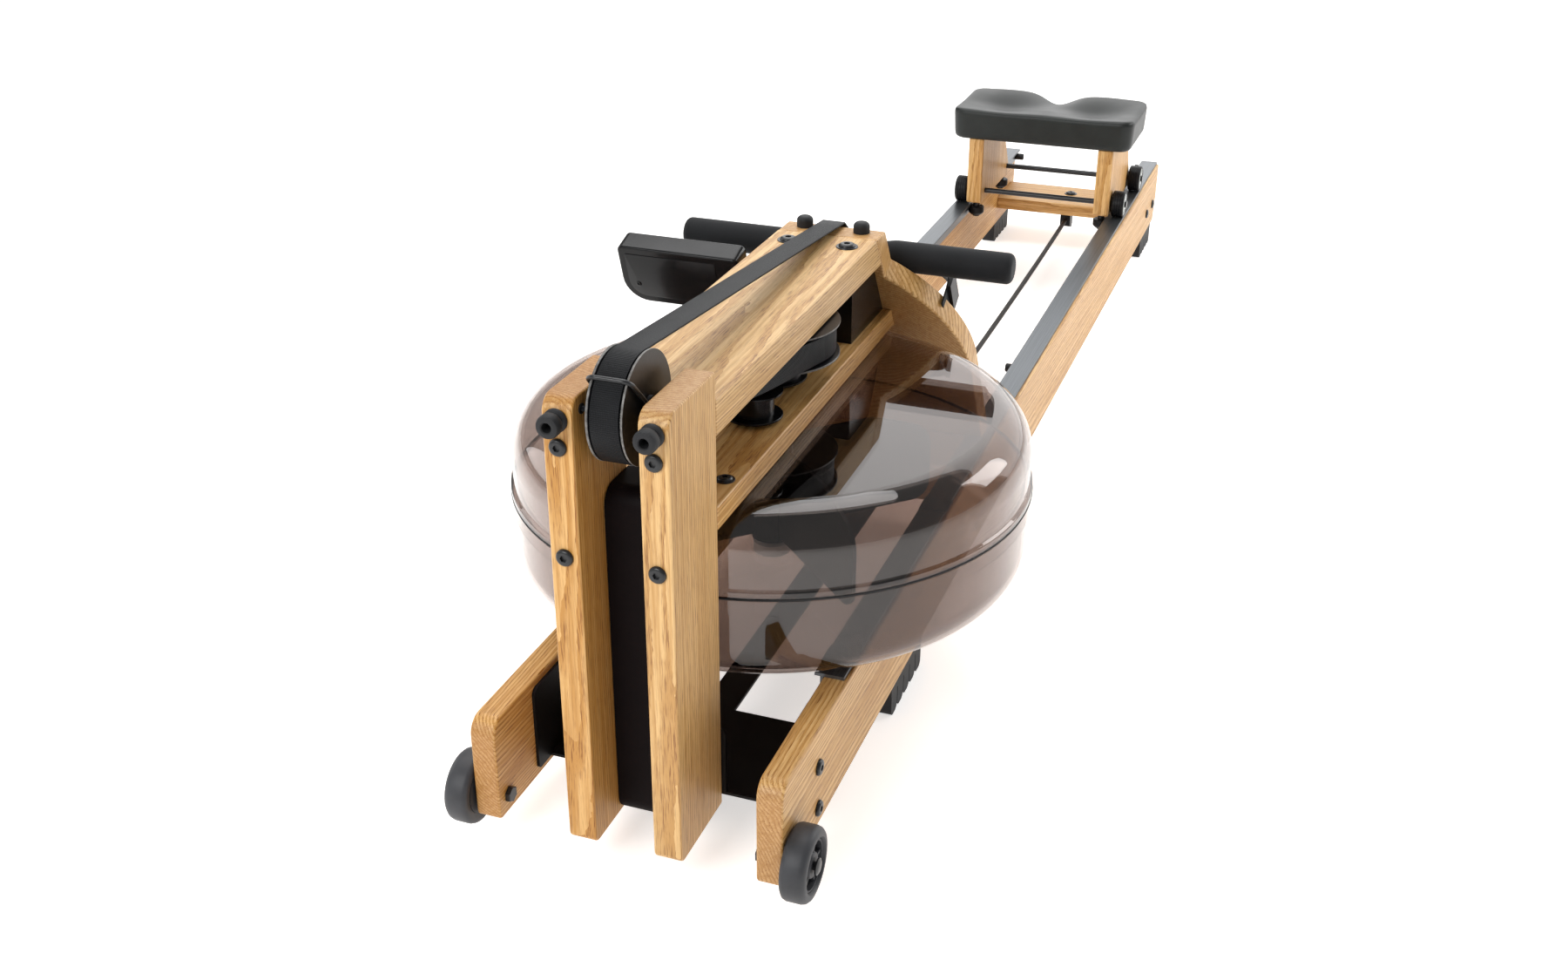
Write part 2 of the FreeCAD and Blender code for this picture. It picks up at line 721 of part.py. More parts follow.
def pull_strap():
    """Strap from the handle, over the deck and the front sheave, to the drum."""
    turn = sheave_radius + touch + strap_thickness / 2
    loop_inner = bar_radius + touch
    loop = ring(vec(handle_x - strap_width / 2, handle_y, handle_z), unit_x,
                loop_inner + strap_thickness, loop_inner, strap_width)
    start_z = handle_z + loop_inner + strap_thickness / 2
    crest_y = deck_end(deck_top) + board_thickness / slope_sin + 3.0
    crest_z = deck_top + 3.5
    away = math.hypot(crest_y - sheave_y, sheave_z - crest_z)
    aim = math.atan2(sheave_z - crest_z, crest_y - sheave_y)
    rise = aim + math.asin(turn / away)
    front = sheave_y - turn
    high = crest_z + math.tan(rise) * (crest_y - front)
    low = sheave_z - turn
    twist_y = post_depth + 12.0
    path = [(handle_y, start_z), (crest_y, crest_z, 8.0), (front, high, turn), (front, low, turn),
            (twist_y, low)]
    half = strap_width / 2
    over = slab_x(band(path, strap_thickness), -half, half)
    loop.translate(vec(-handle_x, 0, 0))
    drum_z = (recoil_z + recoil_width / 2 + pulley_side + deck_bottom - drum_head_gap) / 2
    wound = drum_radius + gap + strap_thickness / 2
    lean = math.asin(wound / (tank_centre_y - twist_y))
    twist = twisted_strip(vec(0, low, 0), twist_y, vec(wound * math.cos(lean), drum_z, 0),
                          tank_centre_y - wound * math.sin(lean), strap_width, strap_thickness)
    return group([over.fuse(loop).removeSplitter(), twist])


def recoil_strap():
    """Strap from the recoil spool, past the guide spool, down the shroud and back to the cord."""
    t = recoil_thickness
    spool = spool_radius + touch + t / 2
    guide = guide_radius + touch + t / 2
    side_x = guide_x - guide
    spread = math.hypot(guide_x, tank_centre_y - guide_y)
    lean = math.asin((spool - guide) / spread)
    aim = math.atan2(guide_x, tank_centre_y - guide_y)
    angle = aim + lean
    start = (-spool * math.cos(angle), tank_centre_y - spool * math.sin(angle))
    corner_y = start[1] - (side_x - start[0]) / math.tan(angle)
    twist_y = guide_y - 25.0
    ribbon = slab_z(band([start, (side_x, corner_y, guide), (side_x, twist_y)], t),
                    recoil_z - recoil_width / 2, recoil_z + recoil_width / 2)
    flat_y = post_depth + 10.0
    twist = twisted_strip(vec(0, recoil_z, 0), flat_y, vec(side_x, recoil_z, 0), twist_y,
                          recoil_width, t)
    front = idler_y - recoil_turn
    path = [(flat_y, recoil_z), (front, recoil_z, recoil_turn), (front, run_z, recoil_turn),
            (clip_front_y, run_z)]
    down = slab_x(band(path, t), -recoil_width / 2, recoil_width / 2)
    return group([ribbon, twist, down])


def cord_clip():
    half = recoil_width / 2 + 2.0
    half_height = 5.5
    outline = [(clip_front_y, run_z - half_height, 3), (clip_front_y + clip_length, run_z - half_height, 3),
               (clip_front_y + clip_length, run_z + half_height, 3),
               (clip_front_y, run_z + half_height, 3)]
    return slab_x(outline, -half, half)


def shock_cord():
    """Elastic cord from the clip to the hook, with the slight sag of its own weight."""
    start = vec(0, clip_front_y + clip_length + touch, run_z)
    low = vec(0, 1333.0, 34.0)
    end = vec(0, hook_y - 14.0 - touch, 46.0)
    before = (start - low).normalize()
    after = (end - low).normalize()
    half = before.getAngle(after) / 2
    reach = 0.45 * min((start - low).Length, (end - low).Length)
    radius = reach * math.tan(half)
    bisector = (before + after).normalize()
    middle = low + bisector * (radius / math.sin(half) - radius)
    first = low + before * reach
    second = low + after * reach
    path = Part.Wire([Part.LineSegment(start, first).toShape(),
                      Part.Arc(first, middle, second).toShape(),
                      Part.LineSegment(second, end).toShape()])
    section = Part.Wire(Part.makeCircle(cord_radius, start, before * -1))
    cord = path.makePipeShell([section], True, False)
    expected = math.pi * cord_radius ** 2 * path.Length
    print("shock cord length", round(path.Length, 1), "arc radius", round(radius),
          "volume over section times length", round(cord.Volume / expected, 4))
    return cord


def cord_hook():
    """Bracket under the rear crosspiece that the cord's end is clipped into."""
    top = 66.0
    plate = box(-9.5, 9.5, hook_y - 14, hook_y + 30, top - 4, top)
    jaw = slab_x([(hook_y - 14, 36, 4), (hook_y + 12, 26, 8), (hook_y + 12, top - 4),
                  (hook_y - 14, top - 4)], -9.5, 9.5)
    throat = box(-3.0, 3.0, hook_y, hook_y + 13, 20, 40)
    return plate.fuse(jaw.cut(throat)).removeSplitter()


# Between and behind the decks
def pulley_cover():
    """Black guard that closes the rear of the space between the decks on three sides."""
    low = lower_deck_top
    high = deck_bottom
    half = 46.0
    wall = 2.5
    front = board_y - 51.0
    outline = [(front, low), (deck_end(low) - gap, low), (deck_end(high) - gap, high), (front, high)]
    outer = slab_x(outline, -half, half)
    inner = slab_x([(front + wall, low - 1), (700, low - 1), (700, high + 1),
                    (front + wall, high + 1)], -half + wall, half - wall)
    return outer.cut(inner)


def handle_pegs():
    y = deck_end(deck_top) + board_thickness / slope_sin * 0.62
    profile = [(0, 0), (9.0, 0), (9.0, 12.0, 5.0), (0, 12.0)]
    pegs = [turned(profile, vec(sign * 32.5, y, deck_top), unit_z) for sign in (-1, 1)]
    return group(pegs)


# Feet on the footboard
def foot_straps():
    low = board_thickness - 12.0
    high = board_thickness + foot_strap_rise
    line = band([(strap_inner, low), (strap_inner, high, 30), (strap_outer, high, 30),
                 (strap_outer, low)], 2.0)
    down0 = strap_down - foot_strap_width / 2
    wire = rounded_wire(line, lambda p: on_board(p.x, down0, p.y))
    along = on_board(0, 1, 0) - on_board(0, 0, 0)
    strap = Part.Face(wire).extrude(along * foot_strap_width)
    return group([strap, mirrored(strap)])


def strap_buckles():
    half = foot_strap_width / 2 + 3.0
    left = strap_outer + 1.0
    buckle = board_slab([(left, strap_down - half), (left + 4, strap_down - half),
                         (left + 4, strap_down + half), (left, strap_down + half)],
                        board_thickness + 8, board_thickness + 30)
    return group([buckle, mirrored(buckle)])


def heel_rest():
    low = board_thickness + touch
    x0 = strap_inner + 2
    x1 = strap_outer - 2
    top_down = 195.0
    heel_down = 315.0
    sole = board_slab([(x0, top_down, 12), (x1, top_down, 12), (x1, heel_down), (x0, heel_down)],
                      low, low + 5)
    heel = board_slab([(x0, heel_down - 8), (x1, heel_down - 8), (x1, heel_down, 4),
                       (x0, heel_down, 4)], low, low + 42)
    lips = [board_slab([(x, top_down + 50), (x + 3, top_down + 50), (x + 3, heel_down - 4),
                        (x, heel_down - 4)], low, low + 22) for x in (x0, x1 - 3)]
    return sole.fuse([heel] + lips).removeSplitter()


# Monitor
def tilted(shape):
    shape.rotate(vec(0, hinge_y, hinge_z), unit_x, monitor_tilt)
    return shape


def monitor_outline(inset):
    left = monitor_x - monitor_width / 2 + inset
    right = monitor_x + monitor_width / 2 - inset
    top = hinge_z + monitor_height / 2 - inset
    low = hinge_z - monitor_height / 2 + inset
    return [(left, low, 30 - inset), (right, low, 30 - inset), (right, top, 7 - inset),
            (left, top, 7 - inset)]


def monitor_case():
    back = hinge_y - monitor_depth / 2
    face = hinge_y + monitor_depth / 2
    shell = slab_y(monitor_outline(0), back, face)
    shell = shell.cut(slab_y(monitor_outline(2.5), back + 2.5, face + 1))
    right = monitor_x + monitor_width / 2
    barrel = rod(vec(right - 2.4, hinge_y, hinge_z), unit_x * -1, 9.0, 30.0)
    bore = rod(vec(right + 1, hinge_y, hinge_z), unit_x * -1, hinge_radius + running, 29.0)
    return tilted(shell.fuse(barrel).cut(bore).removeSplitter())


def button_spots():
    return [(name, monitor_x + side * 26.0) for name, side in (("left", -1), ("right", 1))]


def monitor_screen():
    face = hinge_y + monitor_depth / 2
    panel = slab_y(monitor_outline(2.5 + bolt_clearance), face - 4.0, face - 1.0)
    holes = [rod(vec(x, face - 10, hinge_z - 24.0), unit_y, 6.0 + running * 2, 20.0)
             for name, x in button_spots()]
    return tilted(panel.cut(holes))


def monitor_button(x):
    face = hinge_y + monitor_depth / 2
    return tilted(rod(vec(x, face - 6.0, hinge_z - 24.0), unit_y, 6.0, 7.5))


def monitor_arm():
    front = hinge_y - 35.0
    back = hinge_y + 12.0
    high = deck_top - 5.5
    low = hinge_z - 12.0
    plate = slab_x([(front, high, 6), (front + 24, high, 4), (back, hinge_z + 12, 6),
                    (back, low, 8), (front + 23, low, 8), (front, deck_bottom, 6)],
                   -post_outer - plate_thickness, -post_outer)
    reach = monitor_x + monitor_width / 2 - 24.0 + post_outer
    arm = rod(vec(-post_outer, hinge_y, hinge_z), unit_x * -1, hinge_radius, -reach)
    return plate.fuse(arm).removeSplitter()


# Seat
def seat_cushion():
    back_y = cushion_front_y + cushion_depth
    top = cushion_bottom + cushion_height
    half = cushion_width / 2
    side = slab_x([(cushion_front_y, cushion_bottom, 8), (back_y, cushion_bottom, 8),
                   (back_y, top, 14), (cushion_front_y, top - 5, 14)], -half, half)
    plan = slab_z([(-half, cushion_front_y, 22), (half, cushion_front_y, 22), (half, back_y, 26),
                   (-half, back_y, 26)], cushion_bottom, top)
    return side.common(plan)


def seat_side_plates():
    front = seat_front_wheel_y - 29.0
    rear = seat_front_wheel_y + seat_wheel_base + 30.0
    inner = seat_plate_centre - seat_plate_width / 2
    plate = slab_x([(front, seat_plate_bottom, 5), (rear, seat_plate_bottom, 5),
                    (rear - 75, cushion_bottom), (front, cushion_bottom)],
                   inner, inner + seat_plate_width)
    axle_holes = [rod(vec(0, y, seat_wheel_z), unit_x, 4.5 + bolt_clearance, 300)
                  for y in seat_wheel_ys]
    pin_holes = [rod(vec(roller_x, y, 100), unit_z, 3.0 + bolt_clearance, 62.0)
                 for y in roller_ys]
    plate = plate.cut(axle_holes + pin_holes)
    return group([plate, mirrored(plate)])


def seat_wheel_inner():
    return track_outer - seat_wheel_width + 0.5


def seat_axles():
    reach = seat_wheel_inner() + seat_wheel_width + gap
    solids = []
    for y in seat_wheel_ys:
        axle = rod(vec(-reach - 1.5, y, seat_wheel_z), unit_x, 4.5, 2 * reach + 3)
        caps = [rod(vec(sign * reach, y, seat_wheel_z), unit_x * sign, 6.5, 1.5) for sign in (-1, 1)]
        solids.append(axle.fuse(caps).removeSplitter())
    low = roller_low_z
    for sign in (-1, 1):
        for y in roller_ys:
            base = vec(sign * roller_x, y, low)
            pin = rod(base, unit_z, 3.0, 160.0 - low)
            head = rod(base - unit_z * (touch + 2.5), unit_z, 6.0, 2.5 + touch)
            head = head.cut(rod(base - unit_z * touch, unit_z, 7.0, touch + 1))
            head = head.fuse(rod(base - unit_z * touch, unit_z, 3.0, touch))
            collar_low = low + roller_height + touch
            collar = rod(base + unit_z * (collar_low - low), unit_z, 6.0,
                         seat_plate_bottom - collar_low)
            solids.append(pin.fuse([head, collar]).removeSplitter())
    return group(solids)


def seat_wheel(sign, y):
    w = seat_wheel_width
    r = seat_wheel_radius
    profile = [(4.5 + running, 0), (r - 3, 0), (r, 2, 1), (r, w - 2, 1), (r - 3, w), (r - 5, w),
               (r - 6.5, w - 3), (9, w - 3), (8, w - 1), (4.5 + running, w - 1)]
    return turned(profile, vec(sign * seat_wheel_inner(), y, seat_wheel_z), unit_x * sign)


def guide_roller(sign, y):
    r = guide_roller_radius
    profile = [(3.0 + running, 0), (r - 4, 0), (r, 4, 3), (r, roller_height, 2),
               (3.0 + running, roller_height)]
    return turned(profile, vec(sign * roller_x, y, roller_low_z), unit_z)


# Handle
def handle_bar():
    half = handle_length / 2 - 5.0
    return rod(vec(handle_x - half, handle_y, handle_z), unit_x, bar_radius, 2 * half)


def handle_grips():
    reach = handle_length / 2 - grip_inner
    profile = [(bar_radius, 0), (bar_radius + 1.5, 0), (grip_radius, 18, 12), (grip_radius, reach, 10),
               (0, reach), (0, reach - 5.0), (bar_radius, reach - 5.0)]
    return group([turned(profile, vec(handle_x + sign * grip_inner, handle_y, handle_z),
                         unit_x * sign) for sign in (-1, 1)])


def transport_wheel(sign):
    w = wheel_width
    r = wheel_radius
    profile = [(4.0 + running, 0), (r - 4, 0), (r, 3, 2), (r, w - 4, 3), (r - 4, w, 2), (r - 9, w, 1),
               (r - 11, w - 6), (13, w - 8), (11, w - 3), (4.0 + running, w - 3)]
    return turned(profile, vec(sign * (rail_outer + gap), wheel_y, wheel_z), unit_x * sign)


def main():
    os.makedirs("parts", exist_ok=True)
    for name, half in (("rail", rail()), ("post", post()), ("heel_rest", heel_rest())):
        save("right_" + name, half)
        save("left_" + name, mirrored(half))
    for name, sign in (("left", -1), ("right", 1)):
        save(name + "_wheel", transport_wheel(sign))
        for place, wheel, roller in zip(("front", "rear"), seat_wheel_ys, roller_ys):
            save("seat_wheel_" + place + "_" + name, seat_wheel(sign, wheel))
            save("guide_roller_" + place + "_" + name, guide_roller(sign, roller))
    for name, x in button_spots():
        save("monitor_button_" + name, monitor_button(x))
    save("upper_idler", idler(idler_high_z))
    save("lower_idler", idler(idler_low_z))
    for make in (seat_tracks, top_deck, lower_deck, footboard, mid_crosspiece, rear_crosspiece,
                 base_plate, front_shroud, frame_bolts, rubber_buffers, feet,
                 tank_lower_bowl, tank_upper_bowl, tank_seal, fill_plug, shaft_bearings,
                 paddle_shaft, paddle_blades, front_sheave, drum, guide_spool, pulley_axles,
                 belt_hoop, pull_strap, recoil_strap, cord_clip, shock_cord, cord_hook,
                 pulley_cover, handle_pegs, foot_straps, strap_buckles, monitor_case,
                 monitor_screen, monitor_arm, seat_cushion, seat_side_plates, seat_axles,
                 handle_bar, handle_grips):
        save(make.__name__, make())


main()
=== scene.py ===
import math

import bpy
from mathutils import Matrix, Vector


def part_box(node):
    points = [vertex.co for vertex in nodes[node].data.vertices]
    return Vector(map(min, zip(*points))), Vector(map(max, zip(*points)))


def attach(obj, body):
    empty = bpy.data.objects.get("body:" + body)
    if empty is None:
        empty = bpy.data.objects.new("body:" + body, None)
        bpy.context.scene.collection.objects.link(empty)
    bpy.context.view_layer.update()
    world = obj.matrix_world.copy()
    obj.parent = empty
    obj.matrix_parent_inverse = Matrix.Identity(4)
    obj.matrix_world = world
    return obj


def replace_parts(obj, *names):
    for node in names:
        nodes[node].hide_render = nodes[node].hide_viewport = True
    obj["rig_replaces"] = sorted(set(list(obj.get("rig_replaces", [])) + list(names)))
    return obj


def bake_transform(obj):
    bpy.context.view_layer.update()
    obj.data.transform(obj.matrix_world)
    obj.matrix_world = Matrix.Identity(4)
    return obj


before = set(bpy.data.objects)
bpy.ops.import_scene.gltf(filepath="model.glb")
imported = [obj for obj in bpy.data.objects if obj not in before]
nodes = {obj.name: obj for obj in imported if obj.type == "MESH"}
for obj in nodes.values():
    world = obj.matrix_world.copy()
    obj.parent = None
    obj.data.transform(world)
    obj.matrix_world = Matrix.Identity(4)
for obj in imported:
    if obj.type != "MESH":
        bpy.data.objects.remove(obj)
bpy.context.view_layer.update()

# Rowing machine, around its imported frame. Metres, +Z up, +Y from the posts towards the seat.
mm = 0.001
right = Vector((1, 0, 0))
back = Vector((0, 1, 0))
up = Vector((0, 0, 1))


def lowest(node):
    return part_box(node)[0]


def highest(node):
    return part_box(node)[1]


def middle(node):
    low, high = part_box(node)
    return (low + high) / 2


def deselectAll():
    if bpy.context.object and bpy.context.object.mode != "OBJECT":
        bpy.ops.object.mode_set(mode="OBJECT")
    bpy.ops.object.select_all(action="DESELECT")


def selectOnly(piece):
    deselectAll()
    piece.select_set(True)
    bpy.context.view_layer.objects.active = piece


def editMode(piece, mode="VERT"):
    selectOnly(piece)
    bpy.ops.object.mode_set(mode="EDIT")
    bpy.ops.mesh.select_mode(type=mode)
    bpy.ops.mesh.select_all(action="SELECT")


def objectMode():
    bpy.ops.object.mode_set(mode="OBJECT")


def selectFaces(piece, test):
    # faces are chosen by their middle and normal, then edited
    editMode(piece, "FACE")
    bpy.ops.mesh.select_all(action="DESELECT")
    objectMode()
    for face in piece.data.polygons:
        face.select = test(face.center, face.normal)
    bpy.ops.object.mode_set(mode="EDIT")


def selectEdges(piece, test):
    # edges are chosen by their two ends, then edited
    editMode(piece, "EDGE")
    bpy.ops.mesh.select_all(action="DESELECT")
    objectMode()
    for edge in piece.data.edges:
        edge.select = test(*(piece.data.vertices[i].co for i in edge.vertices))
    bpy.ops.object.mode_set(mode="EDIT")


def applyModifier(piece, kind, **settings):
    selectOnly(piece)
    modifier = piece.modifiers.new(kind.title(), kind)
    for name, value in settings.items():
        setattr(modifier, name, value)
    bpy.ops.object.modifier_apply(modifier=modifier.name)


def smooth(piece, degrees=32):
    selectOnly(piece)
    bpy.ops.object.shade_smooth_by_angle(angle=math.radians(degrees))


def roundEdges(piece, width, segments=3, angle=35):
    applyModifier(piece, "BEVEL", width=width, segments=segments, limit_method="ANGLE",
                  angle_limit=math.radians(angle), use_clamp_overlap=False)


def facing(direction):
    # turns a piece that was made along +Z so that it points along direction
    return Vector(direction).to_track_quat("Z", "Y").to_matrix().to_4x4()


def place(piece, where, direction=up):
    piece.data.transform(Matrix.Translation(Vector(where)) @ facing(direction))
    piece.matrix_world = Matrix.Identity(4)
    return piece


def copyOf(master, name, where, direction=up):
    piece = bpy.data.objects.new(name, master.data.copy())
    bpy.context.scene.collection.objects.link(piece)
    return place(piece, where, direction)


def joined(name, pieces):
    deselectAll()
    for piece in pieces:
        piece.select_set(True)
    bpy.context.view_layer.objects.active = pieces[0]
    if len(pieces) > 1:
        bpy.ops.object.join()
    pieces[0].name = name
    return pieces[0]


def finish(piece, body, material, slot, *replaced):
    piece.data.materials.clear()
    piece.data.materials.append(material)
    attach(piece, body)
    if replaced:
        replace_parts(piece, *replaced)
    return piece


def inMm(*steps):
    return [Vector(step) * mm for step in steps]


def turnedPiece(name, profile, segments=48, closed=False):
    # circle drawn out along Z through (radius, height) steps; closed comes back to its start
    deselectAll()
    start = profile[0]
    bpy.ops.mesh.primitive_circle_add(vertices=segments, radius=start[0], location=(0, 0, start[1]),
                                      fill_type="NOTHING" if closed else "NGON")
    piece = bpy.context.object
    piece.name = name
    bpy.ops.object.transform_apply(location=True, rotation=True, scale=True)
    editMode(piece)
    for before, after in zip(profile, profile[1:] + ([start] if closed else [])):
        bpy.ops.mesh.extrude_region_move(
            TRANSFORM_OT_translate={"value": (0, 0, after[1] - before[1])})
        ratio = after[0] / before[0]
        bpy.ops.transform.resize(value=(ratio, ratio, 1), center_override=(0, 0, after[1]))
    bpy.ops.mesh.select_all(action="SELECT")
    bpy.ops.mesh.remove_doubles(threshold=1e-6)
    bpy.ops.mesh.normals_make_consistent(inside=False)
    objectMode()
    return piece


def ribs(count, low, high, easingMm):
    # thin bars from hub to rim, turned evenly about Z; low and high are in mm
    made = []
    for index in range(count):
        rib = blockPiece("rib", Vector(low) * mm, Vector(high) * mm)
        roundEdges(rib, easingMm * mm, 2)
        rib.data.transform(Matrix.Rotation(math.tau * index / count, 4, "Z"))
        made.append(rib)
    return made


def blockPiece(name, low, high):
    low, high = Vector(low), Vector(high)
    deselectAll()
    bpy.ops.mesh.primitive_cube_add(size=1, location=(low + high) / 2, scale=high - low)
    piece = bpy.context.object
    piece.name = name
    bpy.ops.object.transform_apply(location=True, rotation=True, scale=True)
    return piece


def ribbon(name, centres, halves, thickness, closed=False):
    # woven band: one row of the grid per middle point, halves are its half-width vectors
    deselectAll()
    rows = len(centres)
    bpy.ops.mesh.primitive_grid_add(x_subdivisions=2, y_subdivisions=rows - 1, size=1)
    piece = bpy.context.object
    piece.name = name
    along = [0.0]
    for before, after in zip(centres, centres[1:]):
        along.append(along[-1] + (after - before).length)
    half = halves[0].length
    mesh = piece.data
    for vertex in mesh.vertices:
        row, column = divmod(vertex.index, 3)
        vertex.co = centres[row] + halves[row] * (column - 1)
    for loop in mesh.loops:
        row, column = divmod(loop.vertex_index, 3)
        mesh.uv_layers.active.data[loop.index].uv = ((column - 1) * half, along[row])
    if closed:
        editMode(piece)
        bpy.ops.mesh.remove_doubles(threshold=1e-6)
        objectMode()
    applyModifier(piece, "SOLIDIFY", thickness=thickness, offset=0)
    applyModifier(piece, "BEVEL", width=thickness * 0.3, segments=2, limit_method="ANGLE",
                  angle_limit=math.radians(60))
    smooth(piece, 45)
    return piece


def arcPoints(centre, radius, start, end, steps, across, rise):
    # points on an arc in the plane of the two directions across and rise; angles in degrees
    angles = [math.radians(start + (end - start) * i / steps) for i in range(steps + 1)]
    return [centre + across * (radius * math.cos(a)) + rise * (radius * math.sin(a)) for a in angles]


def twistAngle(share):
    # a quarter turn that starts and ends gently
    return share * share * (3 - 2 * share) * quarter


def straightPoints(start, end, steps):
    return [start.lerp(end, i / steps) for i in range(1, steps)]


def linear(colour):
    parts = [int(colour[i:i + 2], 16) / 255 for i in (1, 3, 5)]
    return [p / 12.92 if p <= 0.04045 else ((p + 0.055) / 1.055) ** 2.4 for p in parts] + [1.0]


def addNode(material, kind, sockets=None, stops=(), **settings):
    # adds a node; a socket value that is itself a socket is linked, stops set a colour ramp
    made = material.node_tree.nodes.new(kind)
    for name, value in settings.items():
        setattr(made, name, value)
    for name, value in (sockets or {}).items():
        if isinstance(value, bpy.types.NodeSocket):
            material.node_tree.links.new(value, made.inputs[name])
        else:
            made.inputs[name].default_value = value
    if stops:
        elements = made.color_ramp.elements
        while len(elements) < len(stops):
            elements.new(0.5)
        for element, (position, colour) in zip(elements, stops):
            element.position = position
            element.color = linear(colour) if isinstance(colour, str) else [colour] * 3 + [1]
    return made


def newMaterial(name):
    material = bpy.data.materials.new(name)
    material.use_nodes = True
    material.node_tree.nodes.clear()
    return material


def surfaced(material, shader):
    # last step of each material: its shader goes to the output
    addNode(material, "ShaderNodeOutputMaterial", {"Surface": shader.outputs[0]})
    return material


def objectPoint(material, scale=(1, 1, 1), turn=(0, 0, 0), shift=(0, 0, 0)):
    point = addNode(material, "ShaderNodeTexCoord").outputs["Object"]
    return addNode(material, "ShaderNodeMapping",
                   {"Vector": point, "Scale": scale, "Rotation": turn, "Location": shift}).outputs[0]


# Oiled oak: honey colour, growth rings cut along the board, dark open pores, satin oil finish.
oakLook = {"ringMm": 3.4, "poreWidthMm": 0.9, "poreLengthMm": 24.0, "roughness": 0.44,
           "light": "#d8b37c", "mid": "#ba8f56", "dark": "#80552c", "end": "#8d6340"}


def oak(name, turn, shift, warmth=0.0):
    # turn brings the board's length onto Z; shift picks which part of the trunk it is cut from
    material = newMaterial("oiledOak" + name)
    point = objectPoint(material, turn=turn, shift=shift)
    slow = addNode(material, "ShaderNodeTexNoise", {
        "Vector": addNode(material, "ShaderNodeMapping",
                          {"Vector": point, "Scale": (10, 10, 1.0)}).outputs[0],
        "Scale": 1.0, "Detail": 3.0, "Roughness": 0.5})
    sway = addNode(material, "ShaderNodeVectorMath",
                   {0: slow.outputs["Color"], 1: (0.5, 0.5, 0.5)}, operation="SUBTRACT")
    amount = addNode(material, "ShaderNodeVectorMath",
                     {0: sway.outputs[0], "Scale": 0.04}, operation="SCALE")
    bent = addNode(material, "ShaderNodeVectorMath",
                   {0: point, 1: amount.outputs[0]}, operation="ADD").outputs[0]
    ringScale = math.pi / (10 * oakLook["ringMm"] * mm)  # one wave of the texture is pi / 10 long
    rings = addNode(material, "ShaderNodeTexWave", {
        "Vector": bent, "Scale": ringScale, "Distortion": 1.2, "Detail": 2.0,
        "Detail Scale": 0.6, "Detail Roughness": 0.6},
        wave_type="RINGS", rings_direction="Z", wave_profile="SAW").outputs["Fac"]
    poreWide = 1 / (oakLook["poreWidthMm"] * mm)
    poreLong = 1 / (oakLook["poreLengthMm"] * mm)
    pores = addNode(material, "ShaderNodeTexNoise", {
        "Vector": addNode(material, "ShaderNodeMapping",
                          {"Vector": bent, "Scale": (poreWide, poreWide, poreLong)}).outputs[0],
        "Scale": 1.0, "Detail": 2.0, "Roughness": 0.6}).outputs["Fac"]
    streaks = addNode(material, "ShaderNodeTexNoise", {
        "Vector": addNode(material, "ShaderNodeMapping",
                          {"Vector": bent, "Scale": (240, 240, 3)}).outputs[0],
        "Scale": 1.0, "Detail": 3.0, "Roughness": 0.55}).outputs["Fac"]
    base = addNode(material, "ShaderNodeValToRGB", {"Fac": rings}, [
        (0.0, oakLook["light"]), (0.45, oakLook["light"]), (0.8, oakLook["mid"]),
        (1.0, oakLook["mid"])])
    streakMask = addNode(material, "ShaderNodeValToRGB", {"Fac": streaks}, [(0.42, 0.0), (0.64, 0.9)])
    streaked = addNode(material, "ShaderNodeMix", {
        "Factor": streakMask.outputs[0], 6: base.outputs[0], 7: linear(oakLook["mid"])},
        data_type="RGBA").outputs[2]
    poreMask = addNode(material, "ShaderNodeValToRGB", {"Fac": pores}, [(0.37, 0.95), (0.49, 0.0)])
    ringMask = addNode(material, "ShaderNodeValToRGB", {"Fac": rings}, [(0.35, 0.28), (0.85, 0.95)])
    poreDepth = addNode(material, "ShaderNodeMath", {0: poreMask.outputs[0], 1: ringMask.outputs[0]},
                        operation="MULTIPLY").outputs[0]
    grained = addNode(material, "ShaderNodeMix", {
        "Factor": poreDepth, 6: streaked, 7: linear(oakLook["dark"])}, data_type="RGBA").outputs[2]
    # end grain drinks more oil and goes darker
    normal = addNode(material, "ShaderNodeTexCoord").outputs["Normal"]
    along = addNode(material, "ShaderNodeSeparateXYZ", {
        "Vector": addNode(material, "ShaderNodeMapping",
                          {"Vector": normal, "Rotation": turn}, vector_type="NORMAL").outputs[0]})
    ends = addNode(material, "ShaderNodeMath", {0: along.outputs["Z"]}, operation="ABSOLUTE")
    endMask = addNode(material, "ShaderNodeValToRGB", {"Fac": ends.outputs[0]},
                      [(0.6, 0.0), (0.95, 0.4)])
    wood = addNode(material, "ShaderNodeMix", {
        "Factor": endMask.outputs[0], 6: grained, 7: linear(oakLook["end"])},
        data_type="RGBA").outputs[2]
    warm = addNode(material, "ShaderNodeHueSaturation", {
        "Color": wood, "Hue": 0.5 - 0.008 * warmth, "Saturation": 1.0 + 0.16 * warmth,
        "Value": 1.0 - 0.1 * warmth}).outputs[0]
    height = addNode(material, "ShaderNodeMath", {0: 1.0, 1: poreDepth}, operation="SUBTRACT")
    bump = addNode(material, "ShaderNodeBump", {
        "Height": height.outputs[0], "Strength": 0.22, "Distance": 0.0003})
    rough = addNode(material, "ShaderNodeMapRange", {
        "Value": streaks, "To Min": oakLook["roughness"] - 0.05, "To Max": oakLook["roughness"] + 0.1})
    return surfaced(material, addNode(material, "ShaderNodeBsdfPrincipled", {
        "Base Color": warm, "Roughness": rough.outputs[0], "Normal": bump.outputs[0], "IOR": 1.48}))


